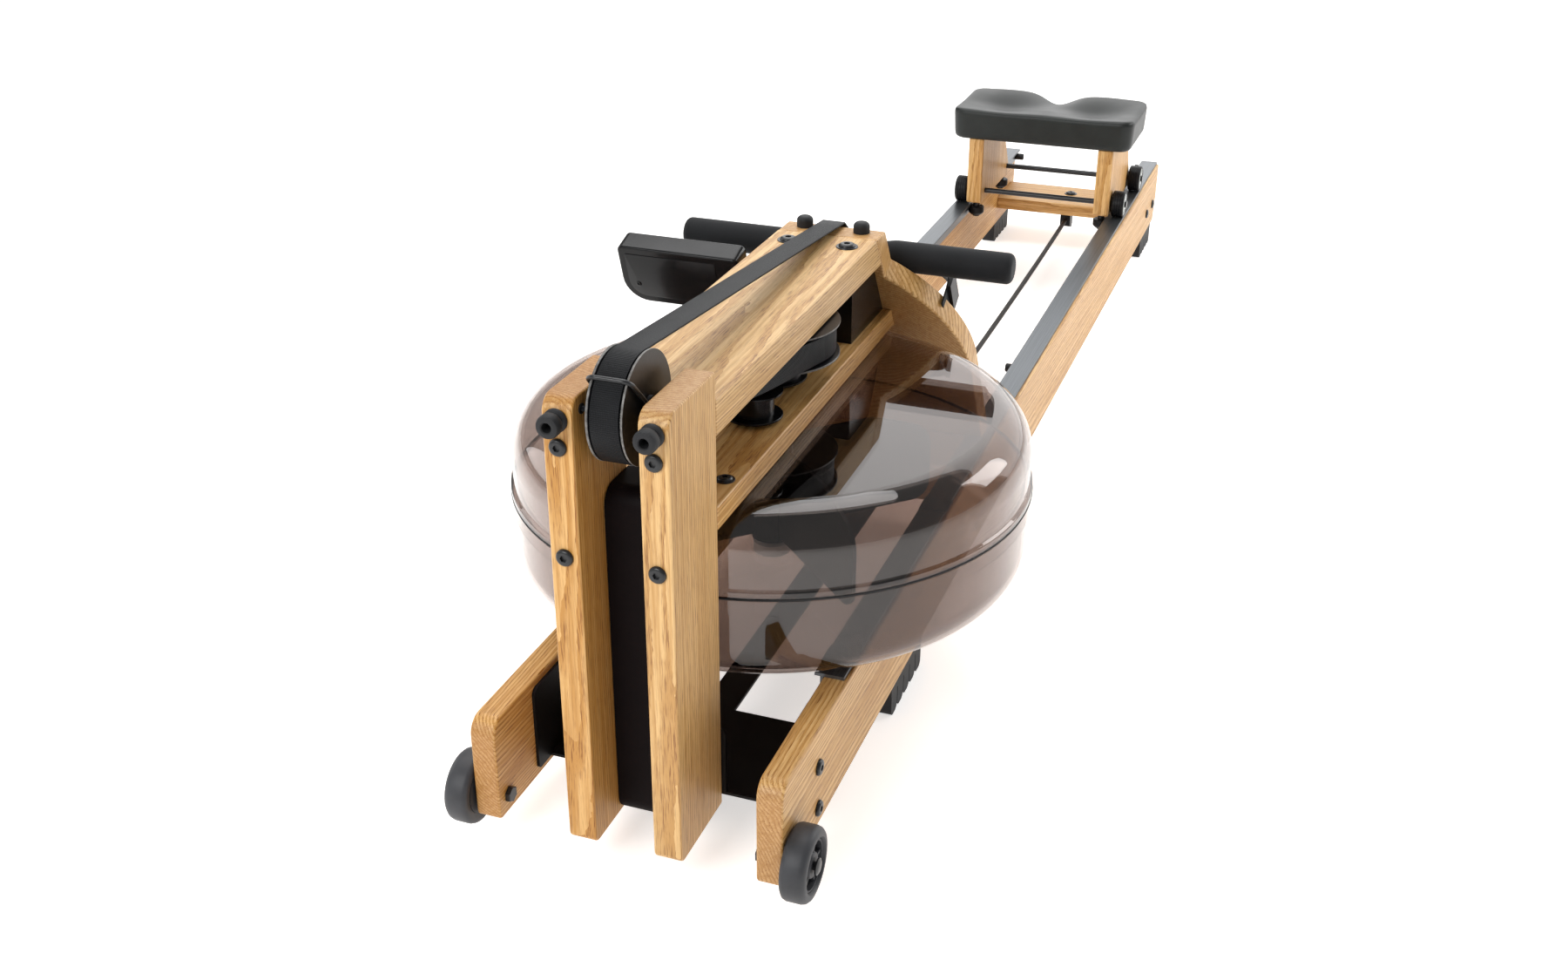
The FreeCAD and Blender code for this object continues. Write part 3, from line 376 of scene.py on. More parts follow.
def grainy(name, colour, lighter, grainMm, roughness, bumpMm, specular=0.5, sheen=0.0):
    # moulded, painted or foamed surface: two tones in soft patches and a fine even texture
    material = newMaterial(name)
    point = objectPoint(material)
    patches = addNode(material, "ShaderNodeTexNoise", {"Vector": point, "Scale": 28.0, "Detail": 4.0})
    grain = addNode(material, "ShaderNodeTexNoise", {
        "Vector": point, "Scale": 1 / (grainMm * mm), "Detail": 2.0, "Roughness": 0.6})
    tone = addNode(material, "ShaderNodeValToRGB", {"Fac": patches.outputs["Fac"]},
                   [(0.3, colour), (0.72, lighter)])
    bump = addNode(material, "ShaderNodeBump", {
        "Height": grain.outputs["Fac"], "Strength": 0.5, "Distance": bumpMm * mm})
    rough = addNode(material, "ShaderNodeMapRange", {
        "Value": patches.outputs["Fac"], "To Min": roughness - 0.06, "To Max": roughness + 0.08})
    return surfaced(material, addNode(material, "ShaderNodeBsdfPrincipled", {
        "Base Color": tone.outputs[0], "Roughness": rough.outputs[0], "Normal": bump.outputs[0],
        "IOR": 1.5, "Specular IOR Level": specular, "Sheen Weight": sheen, "Sheen Roughness": 0.4}))


# Woven polyester webbing: crosswise ribs, drawn 1.7 mm apart so that they show.
def webbing(name, colour, lighter, ribMm=1.7):
    material = newMaterial(name)
    pattern = addNode(material, "ShaderNodeTexCoord").outputs["UV"]
    crosswise = addNode(material, "ShaderNodeTexWave", {
        "Vector": pattern, "Scale": math.pi / (10 * ribMm * mm), "Distortion": 0.6, "Detail": 2.0,
        "Detail Scale": 3.0},
        wave_type="BANDS", bands_direction="Y", wave_profile="SIN").outputs["Fac"]
    threads = addNode(material, "ShaderNodeTexWave", {
        "Vector": pattern, "Scale": math.pi / (10 * 1.2 * mm), "Distortion": 0.8},
        wave_type="BANDS", bands_direction="X", wave_profile="SIN").outputs["Fac"]
    weave = addNode(material, "ShaderNodeMath", {0: crosswise, 1: threads},
                    operation="MULTIPLY").outputs[0]
    wear = addNode(material, "ShaderNodeTexNoise", {"Vector": pattern, "Scale": 60.0, "Detail": 3.0})
    mixed = addNode(material, "ShaderNodeMath", {0: weave, 1: wear.outputs["Fac"]},
                    operation="MULTIPLY")
    tone = addNode(material, "ShaderNodeValToRGB", {"Fac": mixed.outputs[0]},
                   [(0.05, colour), (0.6, lighter)])
    height = addNode(material, "ShaderNodeMath", {0: crosswise, 1: weave}, operation="ADD")
    bump = addNode(material, "ShaderNodeBump", {
        "Height": height.outputs[0], "Strength": 0.5, "Distance": 0.00025})
    return surfaced(material, addNode(material, "ShaderNodeBsdfPrincipled", {
        "Base Color": tone.outputs[0], "Roughness": 0.5, "Normal": bump.outputs[0],
        "Specular IOR Level": 0.12}))


# Black anodised aluminium: satin, with fine lines drawn along the extrusion.
def anodised():
    material = newMaterial("anodisedAluminium")
    lines = addNode(material, "ShaderNodeTexNoise", {
        "Vector": objectPoint(material, scale=(1600, 6, 1600)), "Scale": 1.0, "Detail": 2.0})
    tone = addNode(material, "ShaderNodeValToRGB", {"Fac": lines.outputs["Fac"]},
                   [(0.3, "#54585c"), (0.7, "#6a6e72")])
    bump = addNode(material, "ShaderNodeBump", {
        "Height": lines.outputs["Fac"], "Strength": 0.15, "Distance": 0.0002})
    return surfaced(material, addNode(material, "ShaderNodeBsdfPrincipled", {
        "Base Color": tone.outputs[0], "Roughness": 0.36, "Metallic": 0.85,
        "Normal": bump.outputs[0]}))


# Smoked clear polycarbonate: brown-grey tint at each face, mirror-smooth gloss.
tankLook = {"tint": (0.71, 0.655, 0.63), "shine": 0.045, "edgeShine": 0.9, "falloff": 4.5}


def smoked(name, strength=1.0):
    material = newMaterial(name)
    haze = addNode(material, "ShaderNodeTexNoise", {
        "Vector": objectPoint(material), "Scale": 6.0, "Detail": 2.0})
    tint = addNode(material, "ShaderNodeValToRGB", {"Fac": haze.outputs["Fac"]},
                   [(0.3, 0.93), (0.7, 1.0)])
    colour = addNode(material, "ShaderNodeMix", {
        "Factor": 1.0, 6: [t ** strength for t in tankLook["tint"]] + [1], 7: tint.outputs[0]},
        data_type="RGBA", blend_type="MULTIPLY")
    clear = addNode(material, "ShaderNodeBsdfTransparent", {"Color": colour.outputs[2]})
    gloss = addNode(material, "ShaderNodeBsdfGlossy", {"Color": (1, 1, 1, 1), "Roughness": 0.0})
    weight = addNode(material, "ShaderNodeLayerWeight", {"Blend": 0.5})
    grazing = addNode(material, "ShaderNodeMath", {
        0: weight.outputs["Facing"], 1: tankLook["falloff"]}, operation="POWER")
    shine = addNode(material, "ShaderNodeMapRange", {
        "Value": grazing.outputs[0], "To Min": tankLook["shine"], "To Max": tankLook["edgeShine"]})
    mixed = addNode(material, "ShaderNodeMixShader", {
        0: shine.outputs[0], 1: clear.outputs[0], 2: gloss.outputs[0]})
    return surfaced(material, mixed)


# Black plastic pulley with a painted highlight, a thin pale line along its rim edge; radius and axis
# pick the rim.
def highlightedRim(name, centre, axis, radius):
    material = newMaterial(name)
    point = objectPoint(material, shift=[-c for c in centre])
    across = addNode(material, "ShaderNodeVectorMath", {
        0: point, 1: (0 if axis == "X" else 1, 1, 0 if axis == "Z" else 1)}, operation="MULTIPLY")
    length = addNode(material, "ShaderNodeVectorMath", {0: across.outputs[0]}, operation="LENGTH")
    scuffsAndHighlightEdge = addNode(material, "ShaderNodeTexNoise", {"Vector": point, "Scale": 260.0, "Detail": 3.0})
    edge = addNode(material, "ShaderNodeMath", {
        0: length.outputs["Value"],
        1: addNode(material, "ShaderNodeMath", {0: scuffsAndHighlightEdge.outputs["Fac"], 1: 0.0008},
                   operation="MULTIPLY").outputs[0]}, operation="ADD")
    # painted highlight: a pale band right at the rim's edge stands in for sheen on the flange edge;
    # the scuff noise makes its outline ragged
    rimHighlight = addNode(material, "ShaderNodeMapRange", {
        "Value": edge.outputs[0], "From Min": radius - 0.0004, "From Max": radius + 0.0004})
    tone = addNode(material, "ShaderNodeMix", {
        "Factor": rimHighlight.outputs[0], 6: linear("#0d0d10"), 7: linear("#8f8c88")}, data_type="RGBA")
    bump = addNode(material, "ShaderNodeBump", {
        "Height": scuffsAndHighlightEdge.outputs["Fac"], "Strength": 0.2, "Distance": 0.0002})
    return surfaced(material, addNode(material, "ShaderNodeBsdfPrincipled", {
        "Base Color": tone.outputs[2], "Roughness": 0.34, "Normal": bump.outputs[0],
        "Specular IOR Level": 0.3}))


quarter = math.pi / 2
alongZ, alongY, alongX = (0, 0, 0), (quarter, 0, 0), (0, quarter, 0)
alongBoard = (math.radians(90 - 57), 0, 0)  # the footboard leans 57 degrees
tiltedY = (quarter + 0.018, 0, 0.012)  # cut a little across the trunk, for arched grain
print("materials")
# moulded ABS: even satin black
blackPlastic = grainy("blackAbs", "#0c0c0e", "#131316", 0.5, 0.42, 0.04, specular=0.2)
# the same from a polished mould: sharper highlights
glossPlastic = grainy("glossBlackAbs", "#0a0a0b", "#101011", 0.8, 0.2, 0.01, specular=0.22)
# polypropylene from a coarse mould: hardly any gloss
shroudPlastic = grainy("shroudPolypropylene", "#0d0809", "#120c0d", 0.7, 0.56, 0.05, specular=0.06)
# powder-coated steel: fine orange peel and a soft sheen
blackSteel = grainy("powderCoatedSteel", "#0c0a0a", "#131112", 0.6, 0.45, 0.05, specular=0.15)
# blackened screws: dark grey with a small gleam on the edges
blackScrew = grainy("blackOxideSteel", "#151618", "#232426", 0.4, 0.3, 0.02, specular=0.4)
# moulded rubber: dull dark grey
rubber = grainy("mouldedRubber", "#1a1a1c", "#242527", 0.5, 0.62, 0.05, specular=0.3)
# wheel rubber: lighter, a little dusty
tyreRubber = grainy("tyreRubber", "#2a2b2e", "#3b3c40", 0.6, 0.5, 0.06, specular=0.4)
# foam grips: matt, with small open cells
gripFoam = grainy("closedCellFoam", "#17181a", "#1f2022", 0.9, 0.72, 0.12, specular=0.2, sheen=0.05)
# foam with its own moulded skin: smooth, faintly green black
seatSkin = grainy("integralSkinFoam", "#141716", "#1b1f1d", 0.8, 0.4, 0.03, specular=0.3)
# satin paint on the steel tube: mid grey
satinBar = grainy("satinPaintedTube", "#5d6164", "#6b7073", 0.5, 0.34, 0.02)
# plain nylon: milky and smooth
paleNylon = grainy("paleNylon", "#b9bcbb", "#d2d4d2", 0.6, 0.4, 0.03)
track = anodised()
strapCloth = webbing("polyesterWebbing", "#0d0e10", "#26282b")
footCloth = webbing("footWebbing", "#0d0e0f", "#222426")
tankWall = smoked("smokedPolycarbonate")
deepTankWall = smoked("smokedPolycarbonateBase", 1.25)
# display window: dark green-grey under a clear gloss
lcdGlass = grainy("lcdWindow", "#20261f", "#2a3129", 1.5, 0.12, 0.004)
# ground steel: grey satin
shaftSteel = grainy("satinSteelShaft", "#6d7074", "#7f8387", 0.5, 0.3, 0.01)

# Wooden boards: sawn outlines with eased edges.
boardLook = {"easingMm": {"rail": 2.6, "post": 2.2, "deck": 1.6, "footboard": 2.4, "crosspiece": 1.8,
                          "plate": 2.5},
             "steps": 8, "slope": 57, "footboardMm": 28, "sideBendMm": 195, "sideDropMm": 224,
             "plateMm": 26, "notchMm": 20.5, "notchStepMm": 9.5}
boardSlope = math.radians(boardLook["slope"])


def roundedOutline(points):
    # (a, b) corners; a third value rounds that corner to its radius
    flat = []
    count = len(points)
    for index, point in enumerate(points):
        corner = Vector(point[:2])
        if len(point) < 3:
            flat.append(corner)
            continue
        radius = point[2]
        before = (Vector(points[index - 1][:2]) - corner).normalized()
        after = (Vector(points[(index + 1) % count][:2]) - corner).normalized()
        half = before.angle(after) / 2
        centre = corner + (before + after).normalized() * (radius / math.sin(half))
        first = corner + before * (radius / math.tan(half)) - centre
        last = corner + after * (radius / math.tan(half)) - centre
        sweep = first.angle_signed(last)
        for step in range(boardLook["steps"] + 1):
            turned = first.copy()
            turned.rotate(Matrix.Rotation(-sweep * step / boardLook["steps"], 2))
            flat.append(centre + turned)
    return flat


def sawn(name, outline, toSpace, thickness):
    # the outline becomes a face, which is drawn out by the thickness vector
    deselectAll()
    bpy.ops.mesh.primitive_circle_add(vertices=len(outline), radius=1, fill_type="NGON")
    piece = bpy.context.object
    piece.name = name
    for vertex, point in zip(piece.data.vertices, outline):
        vertex.co = toSpace(point)
    editMode(piece, "FACE")
    bpy.ops.mesh.extrude_region_move(TRANSFORM_OT_translate={"value": thickness})
    bpy.ops.mesh.select_all(action="SELECT")
    bpy.ops.mesh.normals_make_consistent(inside=False)
    objectMode()
    return piece


def eased(piece, kind):
    roundEdges(piece, boardLook["easingMm"][kind] * mm, 4, angle=40)
    smooth(piece, 40)
    applyModifier(piece, "WEIGHTED_NORMAL", keep_sharp=True, weight=80)
    return piece


def sideways(node, outline, kind):
    # board with its outline in the YZ plane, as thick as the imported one
    low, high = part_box(node)
    piece = sawn(node + "Oak", roundedOutline(outline), lambda p: Vector((low.x, p.x, p.y)),
                 (high.x - low.x, 0, 0))
    return eased(piece, kind)


def boardFrame():
    # the deck's top edge that the footboard leans on, and the board's own directions
    low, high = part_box("top_deck")
    edge = Vector((0, high.y - (high.z - low.z) / math.tan(boardSlope), high.z))
    return (edge, Vector((0, math.cos(boardSlope), -math.sin(boardSlope))),
            Vector((0, math.sin(boardSlope), math.cos(boardSlope))))


def makeBoards():
    made = {}
    for node in ("left_rail", "right_rail"):
        low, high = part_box(node)
        made[node] = sideways(node, [
            (low.y, low.z, 6 * mm), (high.y - 12 * mm, low.z, 4 * mm), (high.y, low.z + 40 * mm),
            (high.y, high.z, 3 * mm), (low.y, high.z, 18 * mm)], "rail")
    for node in ("left_post", "right_post"):
        low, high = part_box(node)
        made[node] = sideways(node, [
            (low.y, low.z, 8 * mm), (high.y, low.z), (high.y, high.z, 3 * mm),
            (low.y, high.z, 15 * mm)], "post")
    for node in ("top_deck", "lower_deck"):
        low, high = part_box(node)
        made[node] = sideways(node, [
            (low.y, low.z), (high.y, low.z),
            (high.y - (high.z - low.z) / math.tan(boardSlope), high.z), (low.y, high.z)], "deck")
    low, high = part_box("seat_side_plates")
    for side in (-1, 1):
        outline = roundedOutline([(low.y, low.z, 5 * mm), (high.y, low.z, 5 * mm),
                                  (high.y - 75 * mm, high.z), (low.y, high.z)])
        outer = side * high.x
        made["plate%d" % side] = eased(sawn("plate", outline, lambda p: Vector((outer, p.x, p.y)),
                                            (-side * boardLook["plateMm"] * mm, 0, 0)), "plate")
    made["seat_side_plates"] = joined("seatSidePlatesOak", [made.pop("plate-1"), made.pop("plate1")])
    low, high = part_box("rear_crosspiece")
    made["rear_crosspiece"] = eased(blockPiece("rearCrosspieceOak", low, high), "crosspiece")
    low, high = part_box("mid_crosspiece")
    notch, step = high.z - boardLook["notchMm"] * mm, boardLook["notchStepMm"] * mm
    outline = [(low.x, low.z), (high.x, low.z), (high.x, notch), (high.x - step, notch),
               (high.x - step, high.z), (low.x + step, high.z), (low.x + step, notch), (low.x, notch)]
    piece = sawn("midCrosspieceOak", roundedOutline(outline), lambda p: Vector((p.x, low.y, p.y)),
                 (0, high.y - low.y, 0))
    made["mid_crosspiece"] = eased(piece, "crosspiece")
    made["footboard"] = makeFootboard()
    return made


def makeFootboard():
    low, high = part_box("footboard")
    edge, down, out = boardFrame()
    bend, drop = (boardLook[k] * mm for k in ("sideBendMm", "sideDropMm"))
    reach, half = high.x, highest("top_deck").x
    start = math.acos((half - reach + bend) / bend)
    side = [(half, -40 * mm)]
    for step in range(25):
        angle = start * (1 - step / 24)
        side.append((reach - bend + bend * math.cos(angle), drop - bend * math.sin(angle)))
    side.append((reach, drop + 200 * mm))
    outline = [Vector(p) for p in side] + [Vector((-p[0], p[1])) for p in reversed(side)]
    piece = sawn("footboardOak", outline, lambda p: edge + right * p.x + down * p.y,
                 out * boardLook["footboardMm"] * mm)
    for level, keepBelow in ((high.z, True), (low.z, False)):
        editMode(piece, "FACE")
        bpy.ops.mesh.bisect(plane_co=(0, 0, level), plane_no=(0, 0, 1), use_fill=True,
                            clear_outer=keepBelow, clear_inner=not keepBelow)
        objectMode()
    return eased(piece, "footboard")


# each board: which way its length runs, its place in the trunk, its warmth
boards = {
    "right_rail": (tiltedY, (-0.02, 0.0, -0.02), 0.4),
    "left_rail": (alongY, (-0.05, 0.3, 0.09), 0.7),
    "right_post": (alongZ, (0.05, 0.075, 0.0), 0.2),
    "left_post": (alongZ, (-0.09, 0.06, 0.4), 0.8),
    "top_deck": (tiltedY, (0.02, 0.0, -0.36), 0.0),
    "lower_deck": (alongY, (-0.03, 0.2, 0.3), 0.5),
    "footboard": (alongBoard, (0.02, 0.33, 0.1), 0.3),
    "mid_crosspiece": (alongX, (0.3, 0.2, 0.05), 0.3),
    "rear_crosspiece": (alongX, (0.1, 0.0, 0.06), 0.5),
    "seat_side_plates": (alongZ, (0.03, 0.1, 0.0), 0.5)}
for boardNode, boardPiece in makeBoards().items():
    turn, shift, warmth = boards[boardNode]
    wood = oak(boardNode.title().replace("_", ""), turn, shift, warmth)
    finish(boardPiece, "seat" if boardNode == "seat_side_plates" else "frame", wood, "oak", boardNode)
print("boards")

# Tank, shroud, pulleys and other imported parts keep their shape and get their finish.
carried = {
    "seat_tracks": track, "base_plate": blackSteel, "belt_hoop": blackScrew, "cord_hook": blackPlastic,
    "monitor_arm": blackSteel, "pulley_axles": blackScrew, "paddle_shaft": shaftSteel,
    "seat_axles": blackScrew, "front_shroud": shroudPlastic, "guide_spool": glossPlastic,
    "upper_idler": blackPlastic, "lower_idler": blackPlastic, "pulley_cover": glossPlastic,
    "handle_pegs": rubber, "left_heel_rest": blackPlastic, "right_heel_rest": blackPlastic,
    "strap_buckles": blackPlastic, "cord_clip": blackPlastic, "shaft_bearings": paleNylon,
    "fill_plug": blackPlastic, "paddle_blades": blackPlastic, "feet": rubber,
    "tank_lower_bowl": deepTankWall, "tank_upper_bowl": tankWall,
    "monitor_screen": lcdGlass, "monitor_button_left": rubber, "monitor_button_right": rubber,
    "handle_bar": satinBar,
    # the sheave's and drum's rims get a painted highlight
    "front_sheave": highlightedRim("sheaveRimHighlight", middle("front_sheave"), "X", 49.42 * mm),
    "drum": highlightedRim("drumRimHighlight", middle("drum"), "Z", 69.42 * mm)}
carried.update({name: blackPlastic for name in nodes if name.startswith("guide_roller")})
for nodeName, nodeMaterial in carried.items():
    nodes[nodeName].data.materials.clear()
    nodes[nodeName].data.materials.append(nodeMaterial)
print("carried parts")

# Screws: one head with a hexagon socket, copied to every packed screw.
screwLook = {"socketShare": 0.42, "socketDepth": 0.62, "sides": 36, "heightShare": 0.46,
             "shankMm": 2.6}


def screwHead(name, radius, height):
    share = screwLook["socketShare"]
    profile = [(radius * 0.96, 0.0), (radius, height * 0.1), (radius, height * 0.4),
               (radius * 0.93, height * 0.72), (radius * 0.8, height * 0.92), (radius * 0.66, height),
               (radius * share * 1.12, height)]
    head = turnedPiece(name, profile, screwLook["sides"])
    selectFaces(head, lambda centre, normal: normal.z > 0.9 and centre.z > height * 0.99 and
                centre.xy.length < radius * 0.1)
    bpy.ops.mesh.inset(thickness=radius * share * 0.1)
    objectMode()
    hexagon = radius * share * 0.87
    for vertex in [v for v in head.data.vertices if v.select]:
        angle = math.atan2(vertex.co.y, vertex.co.x)
        bend = (angle % (math.pi / 3)) - math.pi / 6
        reach = hexagon / math.cos(bend)
        vertex.co.x, vertex.co.y = reach * math.cos(angle), reach * math.sin(angle)
    bpy.ops.object.mode_set(mode="EDIT")
    bpy.ops.mesh.extrude_region_move(
        TRANSFORM_OT_translate={"value": (0, 0, -height * screwLook["socketDepth"])})
    objectMode()
    smooth(head, 40)
    return head


def screwSpots():
    # each packed screw is one loose part: its long side is its axis, its wider end is the head
    source = bpy.data.objects.new("screwSource", nodes["frame_bolts"].data.copy())
    bpy.context.scene.collection.objects.link(source)
    editMode(source)
    bpy.ops.mesh.remove_doubles(threshold=1e-6)
    bpy.ops.mesh.separate(type="LOOSE")
    objectMode()
    found = []
    for part in list(bpy.context.selected_objects):
        corners = [Vector(c) for c in part.bound_box]
        low = Vector([min(c[i] for c in corners) for i in range(3)])
        high = Vector([max(c[i] for c in corners) for i in range(3)])
        size = high - low
        axis = max(range(3), key=lambda i: size[i])
        centre = (low + high) / 2
        reach = size[(axis + 1) % 3] / 2
        wide = [v.co[axis] for v in part.data.vertices
                if max(abs(v.co[i] - centre[i]) for i in range(3) if i != axis) > reach * 0.97]
        side = 1 if max(wide) > high[axis] - 0.25 * size[axis] else -1
        out = Vector([side if i == axis else 0 for i in range(3)])
        seat = centre.copy()
        seat[axis] = min(wide) if side > 0 else max(wide)
        both = max(wide) - min(wide) > 0.5 * size[axis]
        found.append((seat, out, reach, both, low, high))
        bpy.data.objects.remove(part)
    return found


def wheelBolt(seat, low, high):
    # nut inside the rail, shank, domed head outside the wheel
    side = 1 if seat.x > 0 else -1
    inner, outer = (low.x, high.x) if side > 0 else (high.x, low.x)
    length = abs(outer - inner) / mm
    nut = turnedPiece("nut", inMm((7.4, 0), (8, 0.5), (8, 4.5), (7.4, 5)), 6)
    shank = turnedPiece("shank", inMm((4, 1), (4, length - 3), (8, length - 3), (8, length - 1.5),
                                      (6, length - 0.4), (3, length)), 32)
    smooth(shank, 40)
    return [place(part, (inner, seat.y, seat.z), right * side) for part in (nut, shank)]


def makeScrews():
    heads = {}
    made = []
    for seat, out, reach, both, low, high in screwSpots():
        if both:
            made += wheelBolt(seat, low, high)
            continue
        key = round(reach * 1e4)
        if key not in heads:
            heads[key] = screwHead("head%d" % key, reach, reach * screwLook["heightShare"])
        made.append(copyOf(heads[key], "screw", seat, out))
        depth = (high - low)[[i for i in range(3) if abs(out[i]) > 0.5][0]] - reach * 0.5
        radius = screwLook["shankMm"] * mm
        shank = turnedPiece("shank", [(radius, 0), (radius, depth)], 16)
        made.append(place(shank, seat, -out))
        if abs(out.z) > 0.5:
            washer = turnedPiece("washer", [(reach * 0.6, 0.05 * mm), (reach * 1.3, 0.05 * mm),
                                            (reach * 1.32, 0.4 * mm), (reach * 1.28, 1.1 * mm),
                                            (reach * 0.6, 1.1 * mm)], 40, closed=True)
            smooth(washer, 40)
            made.append(place(washer, seat, out))
    for head in heads.values():
        bpy.data.objects.remove(head)
    finish(joined("frameScrews", made), "frame", blackScrew, "black_bolts", "frame_bolts")


makeScrews()
print("screws")

# Rubber bumpers, seat stops and tank pads.
bumperLook = {"collarMm": 10.4, "waistMm": 8.0, "boreMm": 4.4, "easingMm": 1.2}


def makeBuffers():
    front = lowest("left_post").y
    length = (front - lowest("rubber_buffers").y) / mm
    r, waist, bore = (bumperLook[k] for k in ("collarMm", "waistMm", "boreMm"))
    master = turnedPiece("bumper", inMm(
        (bore, 0), (r - 1, 0), (r, 1), (r, 3.6), (r - 0.8, 4.6), (waist, 5.8), (waist, 7.4),
        (r - 0.6, 8.8), (r, 9.8), (r, length - 3), (r - 0.9, length - 1), (r - 3, length),
        (bore + 0.9, length), (bore, length - 0.9)), closed=True)
    smooth(master, 40)
    x, z = middle("right_post").x, middle("front_sheave").z
    made = [copyOf(master, "bumperCopy", (side * x, front, z), -back) for side in (-1, 1)]
    bpy.data.objects.remove(master)
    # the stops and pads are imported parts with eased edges; only the two bumpers are new
    rest = bpy.data.objects.new("padSource", nodes["rubber_buffers"].data.copy())
    bpy.context.scene.collection.objects.link(rest)
    editMode(rest)
    bpy.ops.mesh.customdata_custom_splitnormals_clear()
    bpy.ops.mesh.remove_doubles(threshold=1e-6)
    objectMode()
    selectFaces(rest, lambda c, n: c.y < front + 50 * mm)
    bpy.ops.mesh.delete(type="FACE")
    objectMode()
    roundEdges(rest, bumperLook["easingMm"] * mm, 3)
    smooth(rest)
    made.append(rest)
    finish(joined("rubberBuffers", made), "frame", rubber, "rubber", "rubber_buffers")


makeBuffers()
print("buffers")

# Seat cushion: moulded foam with two dished halves and a notch at the back.
cushionLook = {"cornerMm": 21, "bottomMm": 8, "topMm": 7, "voxelMm": 3, "dishMm": 13, "lobeMm": 2.5,
               "notchMm": 15, "notchDeepMm": 18, "frontDipMm": 1, "waistMm": 3}


def cushionTop(u, v):
    # height change of the top at u, -1 to 1 across, and v, 0 at the front to 1 at the back
    dish = math.exp(-((abs(u) - 0.48) / 0.34) ** 2 - ((v - 0.44) / 0.28) ** 2)
    lobe = math.exp(-((abs(u) - 0.52) / 0.32) ** 2) * max(0, v - 0.55) / 0.45
    notch = math.exp(-(u / 0.20) ** 2) * max(0, v - 0.25) / 0.75
    dip = (1 - u * u) * (1 - v) ** 2
    return (cushionLook["lobeMm"] * lobe - cushionLook["dishMm"] * dish
            - cushionLook["notchMm"] * notch - cushionLook["frontDipMm"] * dip) * mm


def makeCushion():
    low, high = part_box("seat_cushion")
    high.z -= cushionLook["lobeMm"] * mm
    piece = blockPiece("seatCushion", low, high)
    centre = (low + high) / 2
    selectEdges(piece, lambda a, b: abs(a.z - b.z) > 0.01)
    bpy.ops.mesh.bevel(offset=cushionLook["cornerMm"] * mm, segments=8)
    objectMode()
    for level, width in ((1, cushionLook["topMm"]), (-1, cushionLook["bottomMm"])):
        selectEdges(piece, lambda a, b: min((a.z - centre.z) * level, (b.z - centre.z) * level) > 0.01)
        bpy.ops.mesh.bevel(offset=width * mm, segments=5)
        objectMode()
    applyModifier(piece, "REMESH", mode="VOXEL", voxel_size=cushionLook["voxelMm"] * mm)
    halfX, depth, tall = (high.x - low.x) / 2, high.y - low.y, high.z - low.z
    for vertex in piece.data.vertices:
        u = (vertex.co.x - centre.x) / halfX
        v = (vertex.co.y - low.y) / depth
        h = (vertex.co.z - low.z) / tall
        lift = max(0.0, min(1.0, (h - 0.25) / 0.75))
        vertex.co.z += cushionTop(u, v) * lift * lift
        pull = math.exp(-(u / 0.22) ** 2) * max(0, v - 0.5) / 0.5
        vertex.co.y -= cushionLook["notchDeepMm"] * mm * pull * (0.35 + 0.65 * lift)
        # sides lean in a little towards the bottom
        vertex.co.x -= u * cushionLook["waistMm"] * mm * (1 - h)
        vertex.co.y -= (v - 0.5) * cushionLook["waistMm"] * mm * (1 - h)
    applyModifier(piece, "SMOOTH", factor=0.5, iterations=5)
    applyModifier(piece, "SUBSURF", levels=1, render_levels=1)
    smooth(piece, 80)
    finish(piece, "seat", seatSkin, "seat_foam", "seat_cushion")


makeCushion()
print("cushion")

# Handle: foam grips on a tube.
gripLook = {"radiusMm": 17.3, "collarMm": 14.2, "barMm": 12.55, "startMm": 46, "taperMm": 16,
            "endMm": 7}


def makeGrips():
    centre = middle("handle_bar")
    r, collar, bar, start, taper, end = (gripLook[k] for k in (
        "radiusMm", "collarMm", "barMm", "startMm", "taperMm", "endMm"))
    length = (highest("handle_grips").x - centre.x) / mm - start
    outline = [(bar, 0), (collar, 0), (collar + 0.8, 1), (r - 0.4, taper * 0.7), (r, taper),
               (r, length - end)]
    for i in range(1, 6):
        angle = math.radians(90 * i / 6)
        outline.append((r - end * (1 - math.cos(angle)), length - end + end * math.sin(angle)))
    outline += [(r - end * 1.02, length), (2, length)]
    grip = turnedPiece("grip", inMm(*outline), 64)
    smooth(grip, 50)
    made = [copyOf(grip, "gripCopy", (centre.x + side * start * mm, centre.y, centre.z), right * side)
            for side in (-1, 1)]
    bpy.data.objects.remove(grip)
    finish(joined("handleGrips", made), "handle", gripFoam, "grip_foam", "handle_grips")


makeGrips()
print("grips")

# Transport wheels: soft tyre on a ribbed hub.
wheelLook = {"treadMm": 35.5, "widthMm": 25, "rimMm": 25.5, "hubMm": 12, "boreMm": 4.1, "ribs": 5}


def wheelSpot(node, side):
    # middle of the wheel's inner face
    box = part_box(node)
    centre = middle(node)
    return box[1 if side < 0 else 0].x, centre.y, centre.z


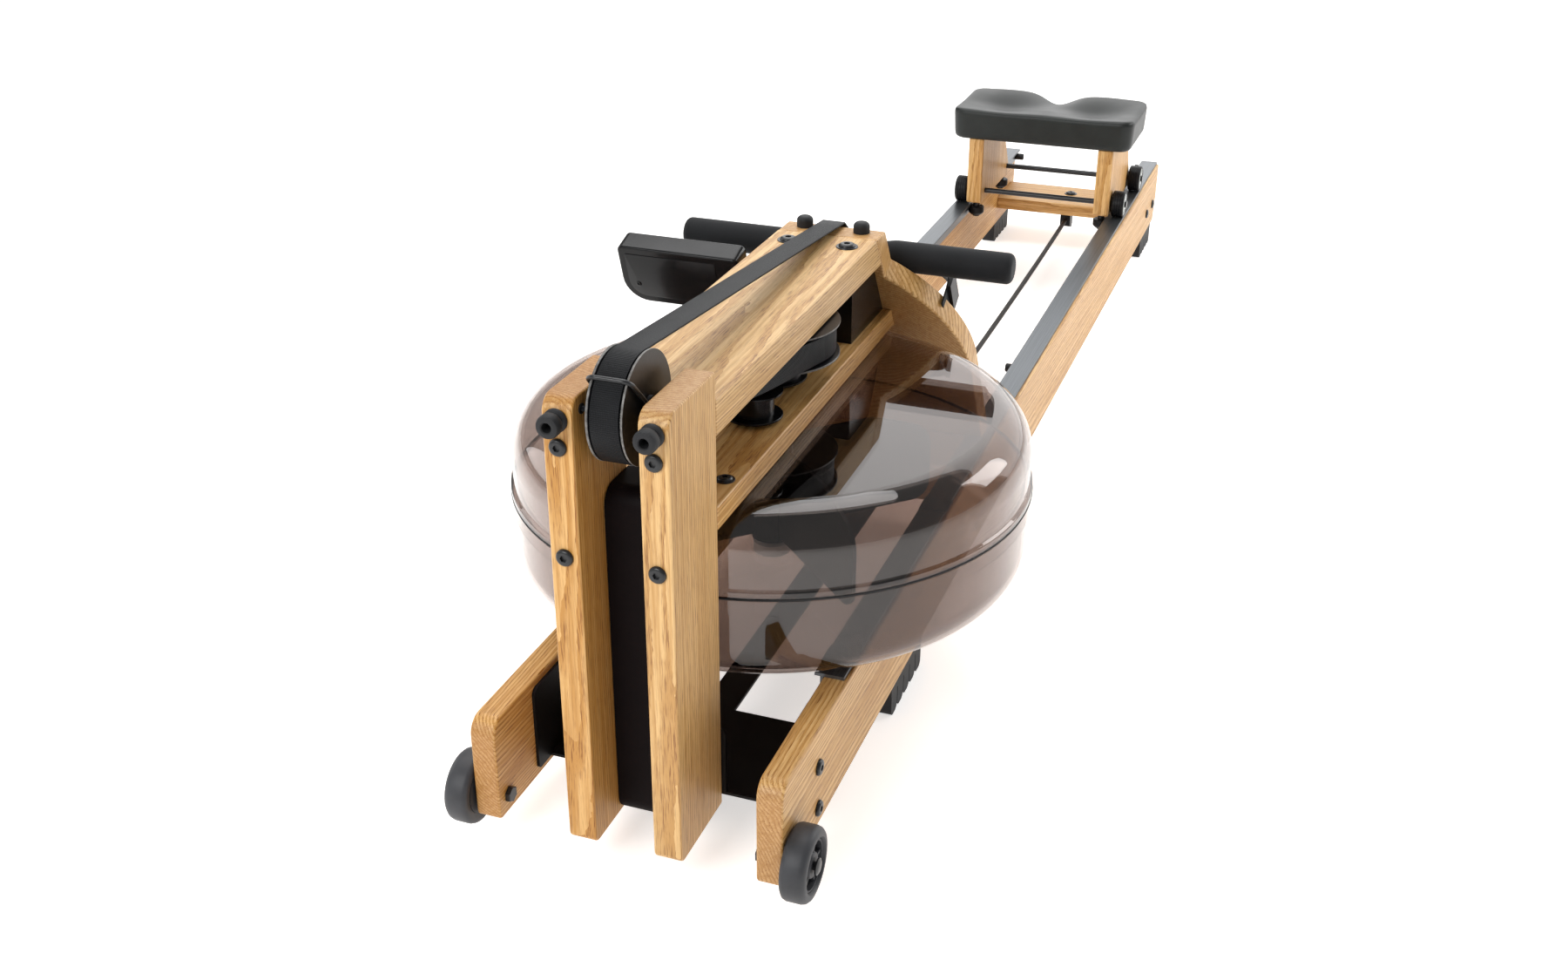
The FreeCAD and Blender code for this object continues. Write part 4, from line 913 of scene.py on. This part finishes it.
def makeTransportWheels():
    r, w, rim, hub, bore = (wheelLook[k] for k in ("treadMm", "widthMm", "rimMm", "hubMm", "boreMm"))
    tyre = turnedPiece("tyre", inMm(
        (rim - 1, 1.5), (rim + 3, 0.4), (r - 3.5, 0.5), (r - 1.2, 2), (r, 5), (r, w - 7),
        (r - 1, w - 3.4), (r - 3.2, w - 1.2), (r - 6, w - 0.3), (rim + 1.2, w - 0.3),
        (rim - 0.4, w - 2), (rim - 1, w - 7)), 72, closed=True)
    disc = turnedPiece("disc", inMm(
        (bore, 1), (rim - 1.2, 1), (rim - 1.2, w - 3), (rim - 3, w - 3), (rim - 3.6, w - 9),
        (hub + 1.5, w - 9), (hub, w - 3.6), (hub - 1, w - 2.8), (bore, w - 2.8)), 72, closed=True)
    bars = ribs(wheelLook["ribs"], (hub - 1.5, -1.6, w - 9.5), (rim - 2.6, 1.6, w - 4.4), 0.6)
    master = joined("wheelMaster", [tyre, disc] + bars)
    smooth(master, 38)
    for side, name in ((-1, "left"), (1, "right")):
        node = name + "_wheel"
        wheel = copyOf(master, name + "TransportWheel", wheelSpot(node, side), right * side)
        finish(wheel, node, tyreRubber, "rubber", node)
    bpy.data.objects.remove(master)


makeTransportWheels()
print("transport wheels")

# Seat wheels: grooved tread and a pale bearing in a ribbed disc.
rollerLook = {"radiusMm": 22, "widthMm": 22, "boreMm": 4.55, "grooves": 3, "grooveMm": 0.7,
              "spokes": 8}


def makeSeatWheels():
    r, w, bore, groove = (rollerLook[k] for k in ("radiusMm", "widthMm", "boreMm", "grooveMm"))
    outline = [(bore, 0.2), (r - 3, 0.2), (r - 0.8, 1), (r, 2.2)]
    for index in range(rollerLook["grooves"]):
        y = 3 + (w - 6) / (rollerLook["grooves"] + 1) * (index + 1)
        outline += [(r, y - 0.7), (r - groove, y - 0.3), (r - groove, y + 0.3), (r, y + 0.7)]
    outline += [(r, w - 2.2), (r - 0.8, w - 0.9), (r - 2.6, w - 0.2), (r - 3.4, w - 0.4),
                (r - 3.6, w - 3), (bore, w - 3)]
    tread = turnedPiece("tread", inMm(*outline), 64, closed=True)
    smooth(tread, 38)
    plate = turnedPiece("disc", inMm(
        (bore, w - 3.1), (r - 3.8, w - 3.1), (r - 3.8, w - 1), (r - 5.4, w - 0.8), (r - 5.8, w - 2.2),
        (10, w - 2.2), (9.6, w - 0.9), (7.2, w - 0.9), (6.9, w - 2), (bore, w - 2)), 64, closed=True)
    spokes = ribs(rollerLook["spokes"], (9, -1, w - 2.6), (r - 4.4, 1, w - 1), 0.4)
    disc = joined("discMaster", [plate] + spokes)
    smooth(disc, 38)
    for end in ("front", "rear"):
        for side, hand in ((-1, "left"), (1, "right")):
            node = "seat_wheel_%s_%s" % (end, hand)
            where, name = wheelSpot(node, side), node.title().replace("_", "")
            wheel = copyOf(tread, name + "Tread", where, right * side)
            finish(wheel, node, blackPlastic, "roller_plastic", node)
            face = copyOf(disc, name + "Disc", where, right * side)
            finish(face, node, paleNylon, "roller_plastic")
    bpy.data.objects.remove(tread)
    bpy.data.objects.remove(disc)


makeSeatWheels()
print("seat wheels")

# Straps and shock cord.
strapLook = {"widthMm": 26, "thicknessMm": 2.0, "recoilWidthMm": 20, "recoilThicknessMm": 1.5,
             "sheaveMm": 46.5, "gapMm": 0.3, "handleLoopMm": 12.8, "spoolMm": 30, "guideMm": 20,
             "idlerMm": 14, "drumMm": 62, "cordMm": 4.0, "crestAcrossMm": -4.5, "crestBackMm": 3,
             "crestRiseMm": 3.5}


def makePullStrap():
    t = strapLook["thicknessMm"] * mm
    half = strapLook["widthMm"] * mm / 2
    turn = (strapLook["sheaveMm"] + strapLook["gapMm"]) * mm + t / 2
    axle = middle("front_sheave")
    bar = middle("handle_bar")
    axle.x = 0.0
    loopRadius = strapLook["handleLoopMm"] * mm + t / 2
    edge = boardFrame()[0]
    board = boardLook["footboardMm"] * mm / math.sin(boardSlope)
    crest = Vector((strapLook["crestAcrossMm"] * mm, edge.y + board + strapLook["crestBackMm"] * mm,
                    edge.z + strapLook["crestRiseMm"] * mm))
    aim = math.atan2(axle.z - crest.z, crest.y - axle.y)
    loop = arcPoints(bar, loopRadius, -260, 90, 20, back, up)
    # from the handle over the deck's rear edge, then down to the sheave's top
    sheaveArc = arcPoints(axle, turn, 90 - math.degrees(aim) - 4.0, 270, 26, back, up)
    path = loop + straightPoints(loop[-1], crest, 24) + [crest]
    path += straightPoints(crest, sheaveArc[0], 20) + sheaveArc
    under = Vector((0, lowest("lower_deck").y + 12 * mm, axle.z - turn))
    path += straightPoints(sheaveArc[-1], under, 6) + [under]
    strap = ribbon("pullStrap", path, [right * half] * len(path), t)
    finish(strap, "frame", strapCloth, "webbing", "pull_strap")
    strap.parent = None
    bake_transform(strap)
    drum = middle("drum")
    wound = (strapLook["drumMm"] + 1) * mm + t / 2
    leanIn = math.asin(wound / (drum.y - under.y))
    drumZ = highest("drum").z - 3 * mm - (strapLook["widthMm"] + 3.1) * mm / 2
    end = Vector((wound * math.cos(leanIn), drum.y - wound * math.sin(leanIn), drumZ))
    path, widths = [], []
    for index in range(29):
        angle = twistAngle(index / 28)
        path.append(under.lerp(end, index / 28))
        widths.append((right * math.cos(angle) - up * math.sin(angle)) * half)
    twist = ribbon("pullStrapTwist", path, widths, t)
    finish(twist, "frame", strapCloth, "webbing")
    # turns of strap wound on the drum
    centre = Vector((0, drum.y, drumZ))
    circle = arcPoints(centre, wound + 0.2 * mm, 0, 360, 96, right, back)
    winding = ribbon("woundStrap", circle, [up * (half - 0.3 * mm)] * len(circle), t * 0.9,
                     closed=True)
    finish(winding, "drum", strapCloth, "webbing")


def makeRecoilStrap():
    t = strapLook["recoilThicknessMm"] * mm
    half = strapLook["recoilWidthMm"] * mm / 2
    level = highest("recoil_strap").z - half
    spool, guide = ((strapLook[k] + strapLook["gapMm"]) * mm + t / 2 for k in ("spoolMm", "guideMm"))
    stud, drum = middle("guide_spool"), middle("drum")
    spread = math.hypot(stud.x, drum.y - stud.y)
    lean = math.atan2(stud.x, drum.y - stud.y) + math.asin((spool - guide) / spread)
    start = Vector((-spool * math.cos(lean), drum.y - spool * math.sin(lean), level))
    sideX = stud.x - guide
    twistY = stud.y - 25 * mm
    corner = Vector((-guide * math.cos(lean) + stud.x, stud.y - guide * math.sin(lean), level))
    path = [start] + straightPoints(start, corner, 8) + [corner]
    path += [Vector((sideX, stud.y, level)), Vector((sideX, twistY, level))]
    widths = [up * half] * len(path)
    flat = Vector((0, lowest("lower_deck").y + 10 * mm, level))
    for index in range(1, 25):
        angle = twistAngle(index / 24)
        path.append(Vector((sideX, twistY, level)).lerp(flat, index / 24))
        widths.append((up * math.cos(angle) + right * math.sin(angle)) * half)
    idler = middle("upper_idler")
    foot = middle("lower_idler")
    turn = (strapLook["idlerMm"] + strapLook["gapMm"]) * mm + t / 2
    upper = arcPoints(Vector((0, idler.y, level - turn)), turn, 90, 180, 8, back, up)
    lower = arcPoints(Vector((0, foot.y, foot.z)), turn, 180, 270, 8, back, up)
    path += upper + straightPoints(upper[-1], lower[0], 8) + lower
    clip = lowest("cord_clip").y
    tail = Vector((0, clip + 4 * mm, foot.z - turn))
    path += straightPoints(lower[-1], tail, 40) + [tail]
    widths += [right * half] * (len(path) - len(widths))
    strap = ribbon("recoilStrap", path, widths, t)
    finish(strap, "frame", strapCloth, "webbing", "recoil_strap")
    # only the run under the tank shortens, so the rest is a piece of its own
    selectFaces(strap, lambda c, n: c.y > foot.y + 20 * mm and c.z < foot.z)
    bpy.ops.mesh.separate(type="SELECTED")
    objectMode()
    running = [o for o in bpy.context.selected_objects if o != strap][0]
    running.name = "recoilStrapRun"
    running.parent = None
    if "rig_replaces" in running:
        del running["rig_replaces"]
    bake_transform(running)


def makeShockCord():
    low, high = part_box("shock_cord")
    radius = strapLook["cordMm"] * mm
    front = Vector((0, low.y, middle("cord_clip").z))
    end = Vector((0, high.y, high.z - radius))
    sag = low.z + radius
    centres = []
    steps = 60  # rows of the tube; row i is first drawn i + 1 mm up, then set on its centre
    for index in range(steps + 1):
        share = index / steps
        line = front.z + (end.z - front.z) * share
        drop = 4 * share * (1 - share) * (line - sag) * 0.9
        centres.append(Vector((0, front.y + (end.y - front.y) * share, line - drop)))
    cord = turnedPiece("shockCord", [(radius, (i + 1) * mm) for i in range(steps + 1)], 20)
    for vertex in cord.data.vertices:
        centre = centres[round(vertex.co.z / mm) - 1]
        vertex.co = centre + Vector((vertex.co.x, 0, vertex.co.y))
    editMode(cord)
    bpy.ops.mesh.normals_make_consistent(inside=False)
    objectMode()
    smooth(cord, 60)
    finish(cord, "frame", cordSheath, "cord_sheath", "shock_cord")
    cord.parent = None
    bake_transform(cord)


# Braided sheath: helical threads, drawn 1.6 mm apart.
def braided():
    material = newMaterial("braidedSheath")
    point = objectPoint(material, turn=(0.6, 0, 0.6))
    threads = addNode(material, "ShaderNodeTexWave", {
        "Vector": point, "Scale": math.pi / (10 * 1.6 * mm), "Distortion": 0.4},
        wave_type="BANDS", bands_direction="DIAGONAL").outputs["Fac"]
    tone = addNode(material, "ShaderNodeValToRGB", {"Fac": threads},
                   [(0.2, "#121214"), (0.8, "#2b2b2e")])
    bump = addNode(material, "ShaderNodeBump", {
        "Height": threads, "Strength": 0.6, "Distance": 0.0003})
    return surfaced(material, addNode(material, "ShaderNodeBsdfPrincipled", {
        "Base Color": tone.outputs[0], "Roughness": 0.6, "Normal": bump.outputs[0]}))


cordSheath = braided()
makePullStrap()
makeRecoilStrap()
makeShockCord()
print("straps and cord")

# Foot straps: webbing arches over the footboard.
footLook = {"downMm": 135, "inMm": 20, "outMm": 112, "widthMm": 38, "riseMm": 58, "thicknessMm": 2,
            "buriedMm": 14}


def makeFootStraps():
    edge, down, out = boardFrame()
    start = edge + down * footLook["downMm"] * mm
    a, b = footLook["inMm"] * mm, footLook["outMm"] * mm
    centre, reach = (a + b) / 2, (b - a) / 2
    made = []
    for side in (-1, 1):
        path = []
        for index in range(41):
            angle = math.pi * index / 40
            arch = footLook["riseMm"] * max(0.0, math.sin(angle)) ** 0.75
            across = centre - reach * math.copysign(abs(math.cos(angle)) ** 0.8, math.cos(angle))
            path.append(start + right * (side * across) + out * (boardLook["footboardMm"] + arch) * mm)
        low = [p - out * footLook["buriedMm"] * mm for p in (path[0], path[-1])]
        path = [low[0]] + path + [low[1]]
        made.append(ribbon("footStrap", path, [down * (footLook["widthMm"] * mm / 2)] * len(path),
                           footLook["thicknessMm"] * mm))
    finish(joined("footStraps", made), "frame", footCloth, "webbing", "foot_straps")


makeFootStraps()
print("foot straps")

# Set screw beside the sheave, on the left post's inner face.
setScrewLook = {"radiusMm": 2.4, "lengthMm": 8.5, "threads": 6, "backMm": 17, "riseMm": 5}


def makeSetScrew():
    r, length = setScrewLook["radiusMm"], setScrewLook["lengthMm"]
    pitch = length / setScrewLook["threads"]
    profile = [(r * 1.9, 0.0), (r * 1.9, 1.2), (r * 0.8, 1.3)]
    for turn in range(1, setScrewLook["threads"]):
        profile += [(r, turn * pitch + pitch * 0.45), (r * 0.8, turn * pitch + pitch * 0.9)]
    profile.append((r * 0.4, length))
    screw = turnedPiece("setScrew", inMm(*profile), 24)
    smooth(screw, 35)
    post = highest("left_post")
    where = (post.x - 0.2 * mm, lowest("left_post").y + setScrewLook["backMm"] * mm,
             middle("front_sheave").z + setScrewLook["riseMm"] * mm)
    finish(place(screw, where, right), "frame", blackScrew, "black_bolts")


makeSetScrew()
print("set screw")

# Tank seal: a thin rubber ring pinched between the two bowls.
sealLook = {"proudMm": 0.2, "halfMm": 0.9, "depthMm": 2.6, "segments": 192}


def makeTankSeal():
    reach = highest("tank_seal").x / mm
    outer, inner = reach - sealLook["proudMm"], reach - sealLook["depthMm"]
    half = sealLook["halfMm"]
    ring = turnedPiece("tankSeal", inMm(
        (inner, -half), (outer - 0.4, -half), (outer, -half * 0.5), (outer, half * 0.5),
        (outer - 0.4, half), (inner, half)), sealLook["segments"], closed=True)
    smooth(ring, 40)
    finish(place(ring, middle("tank_seal")), "frame", rubber, "rubber", "tank_seal")


makeTankSeal()
print("tank seal")

# Monitor: moulded case with a battery door on its back, on the arm's hinge.
monitorLook = {"widthMm": 146, "heightMm": 74, "depthMm": 30, "lowCornerMm": 30, "highCornerMm": 7,
               "edgeMm": 3, "tilt": 18, "hingeMm": 5.05, "hingeLevelMm": 388, "doorInsetMm": 9}


def makeMonitor():
    w, h, d, low, high, inset = (monitorLook[k] * mm for k in (
        "widthMm", "heightMm", "depthMm", "lowCornerMm", "highCornerMm", "doorInsetMm"))
    hinge = Vector((0, highest("monitor_arm").y - 12 * mm, monitorLook["hingeLevelMm"] * mm))
    centreX = lowest("monitor_case").x + w / 2
    leftX, rightX = centreX - w / 2, centreX + w / 2
    bottom, top = hinge.z - h / 2, hinge.z + h / 2
    outline = roundedOutline([(leftX, bottom, low), (rightX, bottom, low), (rightX, top, high),
                              (leftX, top, high)])
    case = sawn("case", outline, lambda p: Vector((p.x, hinge.y - d / 2, p.y)), (0, d, 0))
    roundEdges(case, monitorLook["edgeMm"] * mm, 4)
    # the front is set back inside its rim for the screen panel
    face = hinge.y + d / 2
    selectFaces(case, lambda c, n: n.y > 0.99 and c.y > face - 0.1 * mm)
    bpy.ops.mesh.inset(thickness=1.2 * mm)
    bpy.ops.mesh.extrude_region_move(TRANSFORM_OT_translate={"value": (0, -4.2 * mm, 0)})
    objectMode()
    smooth(case, 35)
    applyModifier(case, "WEIGHTED_NORMAL", keep_sharp=True, weight=80)
    # battery door: a thin plate with its own rounded outline, just proud of the back
    backY = hinge.y - d / 2
    doorOutline = roundedOutline([
        (leftX + inset, bottom + inset, low - inset), (rightX - 3 * inset, bottom + inset, 6 * mm),
        (rightX - 3 * inset, top - inset, 2 * mm), (leftX + inset, top - inset, 2 * mm)])
    door = sawn("door", doorOutline, lambda p: Vector((p.x, backY - 0.7 * mm, p.y)), (0, 1.2 * mm, 0))
    roundEdges(door, 0.35 * mm, 2)
    smooth(door, 35)
    parts = [case, door]
    for across in (-0.36, 0.36):
        boss = turnedPiece("boss", inMm((3.4, 0), (3.4, 0.8), (2.6, 1.3), (1.4, 1.3), (1.4, 0.4)), 24)
        smooth(boss, 40)
        parts.append(place(boss, (centreX + across * w, backY - 0.1 * mm, hinge.z - 0.16 * h), -back))
    bore = monitorLook["hingeMm"]
    barrel = turnedPiece("barrel", inMm((bore, 0), (8.2, 0), (9, 0.8), (9, 29), (8.2, 30), (bore, 30)),
                         closed=True)
    smooth(barrel, 40)
    parts.append(place(barrel, (rightX - 1.2 * mm, hinge.y, hinge.z), -right))
    piece = joined("monitorCase", parts)
    tilt = Matrix.Rotation(math.radians(monitorLook["tilt"]), 4, "X")
    piece.data.transform(Matrix.Translation(hinge) @ tilt @ Matrix.Translation(-hinge))
    finish(piece, "monitor", glossPlastic, "black_plastic", "monitor_case")


makeMonitor()
print("monitor")

# Floor, light and camera.
stageLook = {"floor": "#f4f2f0", "glow": 0.60, "sky": 0.40}
# each light: its place, what it points at, its two sides in metres, its power in watts
lightLook = {
    "key": ((-0.8, -3.4, 2.0), (0, -0.9, 0.25), (1.4, 1.2), 58),
    "fill": ((-2.6, -0.6, 1.3), (0, -0.6, 0.3), (1.8, 1.4), 20),
    "top": ((-0.5, 0.4, 2.8), (0, -0.1, 0.3), (2.2, 2.2), 60),
    "side": ((1.9, 1.2, 1.5), (0.2, 0.8, 0.15), (1.2, 1.2), 26),
    "backdrop": ((0.8, 4.2, 2.2), (0, 0, 0.6), (8.0, 4.0), 165)}
cameraLook = {"lensMm": 38.2, "sensorMm": 36, "place": (0.5470, -2.1356, 1.0080),
              "yaw": 19.9, "pitch": 26.5, "roll": 0.2}


def areaLight(name, where, target, size, watts):
    data = bpy.data.lights.new(name, "AREA")
    data.shape = "RECTANGLE"
    data.size, data.size_y = size
    data.energy = watts
    light = bpy.data.objects.new(name, data)
    bpy.context.scene.collection.objects.link(light)
    light.location = where
    aim = Vector(target) - Vector(where)
    light.rotation_euler = aim.to_track_quat("-Z", "Y").to_euler()
    light.visible_camera = False
    return light


def makeStage():
    deselectAll()
    bpy.ops.mesh.primitive_plane_add(size=60, location=(0, 0, 0))
    floor = bpy.context.object
    floor.name = "floor"
    material = newMaterial("paleFloor")
    floor.data.materials.append(surfaced(material, addNode(material, "ShaderNodeBsdfPrincipled", {
        "Base Color": linear(stageLook["floor"]), "Roughness": 0.7, "Specular IOR Level": 0.1,
        "Emission Color": (1, 0.995, 0.99, 1), "Emission Strength": stageLook["glow"]})))
    world = bpy.data.worlds.new("studio")
    bpy.context.scene.world = world
    world.use_nodes = True
    world.node_tree.nodes["Background"].inputs["Color"].default_value = (1, 1, 1, 1)
    # dim sky for the light, plain white behind the object
    tree = world.node_tree
    seen = tree.nodes.new("ShaderNodeLightPath")
    level = tree.nodes.new("ShaderNodeMapRange")
    level.inputs["To Min"].default_value = stageLook["sky"]
    tree.links.new(seen.outputs["Is Camera Ray"], level.inputs["Value"])
    tree.links.new(level.outputs[0], tree.nodes["Background"].inputs["Strength"])
    lights = {name: areaLight(name, *settings) for name, settings in lightLook.items()}
    # the wide white backdrop only shows as a reflection in the glossy parts
    lights["backdrop"].visible_diffuse = False
    lights["backdrop"].visible_transmission = False


def makeCamera():
    data = bpy.data.cameras.new("camera")
    data.lens = cameraLook["lensMm"]
    data.sensor_width = cameraLook["sensorMm"]
    data.clip_end = 100
    camera = bpy.data.objects.new("camera", data)
    bpy.context.scene.collection.objects.link(camera)
    camera.location = cameraLook["place"]
    yaw, pitch, roll = (math.radians(cameraLook[k]) for k in ("yaw", "pitch", "roll"))
    turn = Matrix.Rotation(yaw, 4, "Z") @ Matrix.Rotation(quarter - pitch, 4, "X")
    camera.rotation_euler = (turn @ Matrix.Rotation(roll, 4, "Z")).to_euler()
    bpy.context.scene.camera = camera


makeStage()
makeCamera()
bpy.context.scene.view_settings.view_transform = "Standard"
bpy.context.scene.cycles.transparent_max_bounces = 24  # the tank has many clear walls in a row
print("stage and camera")
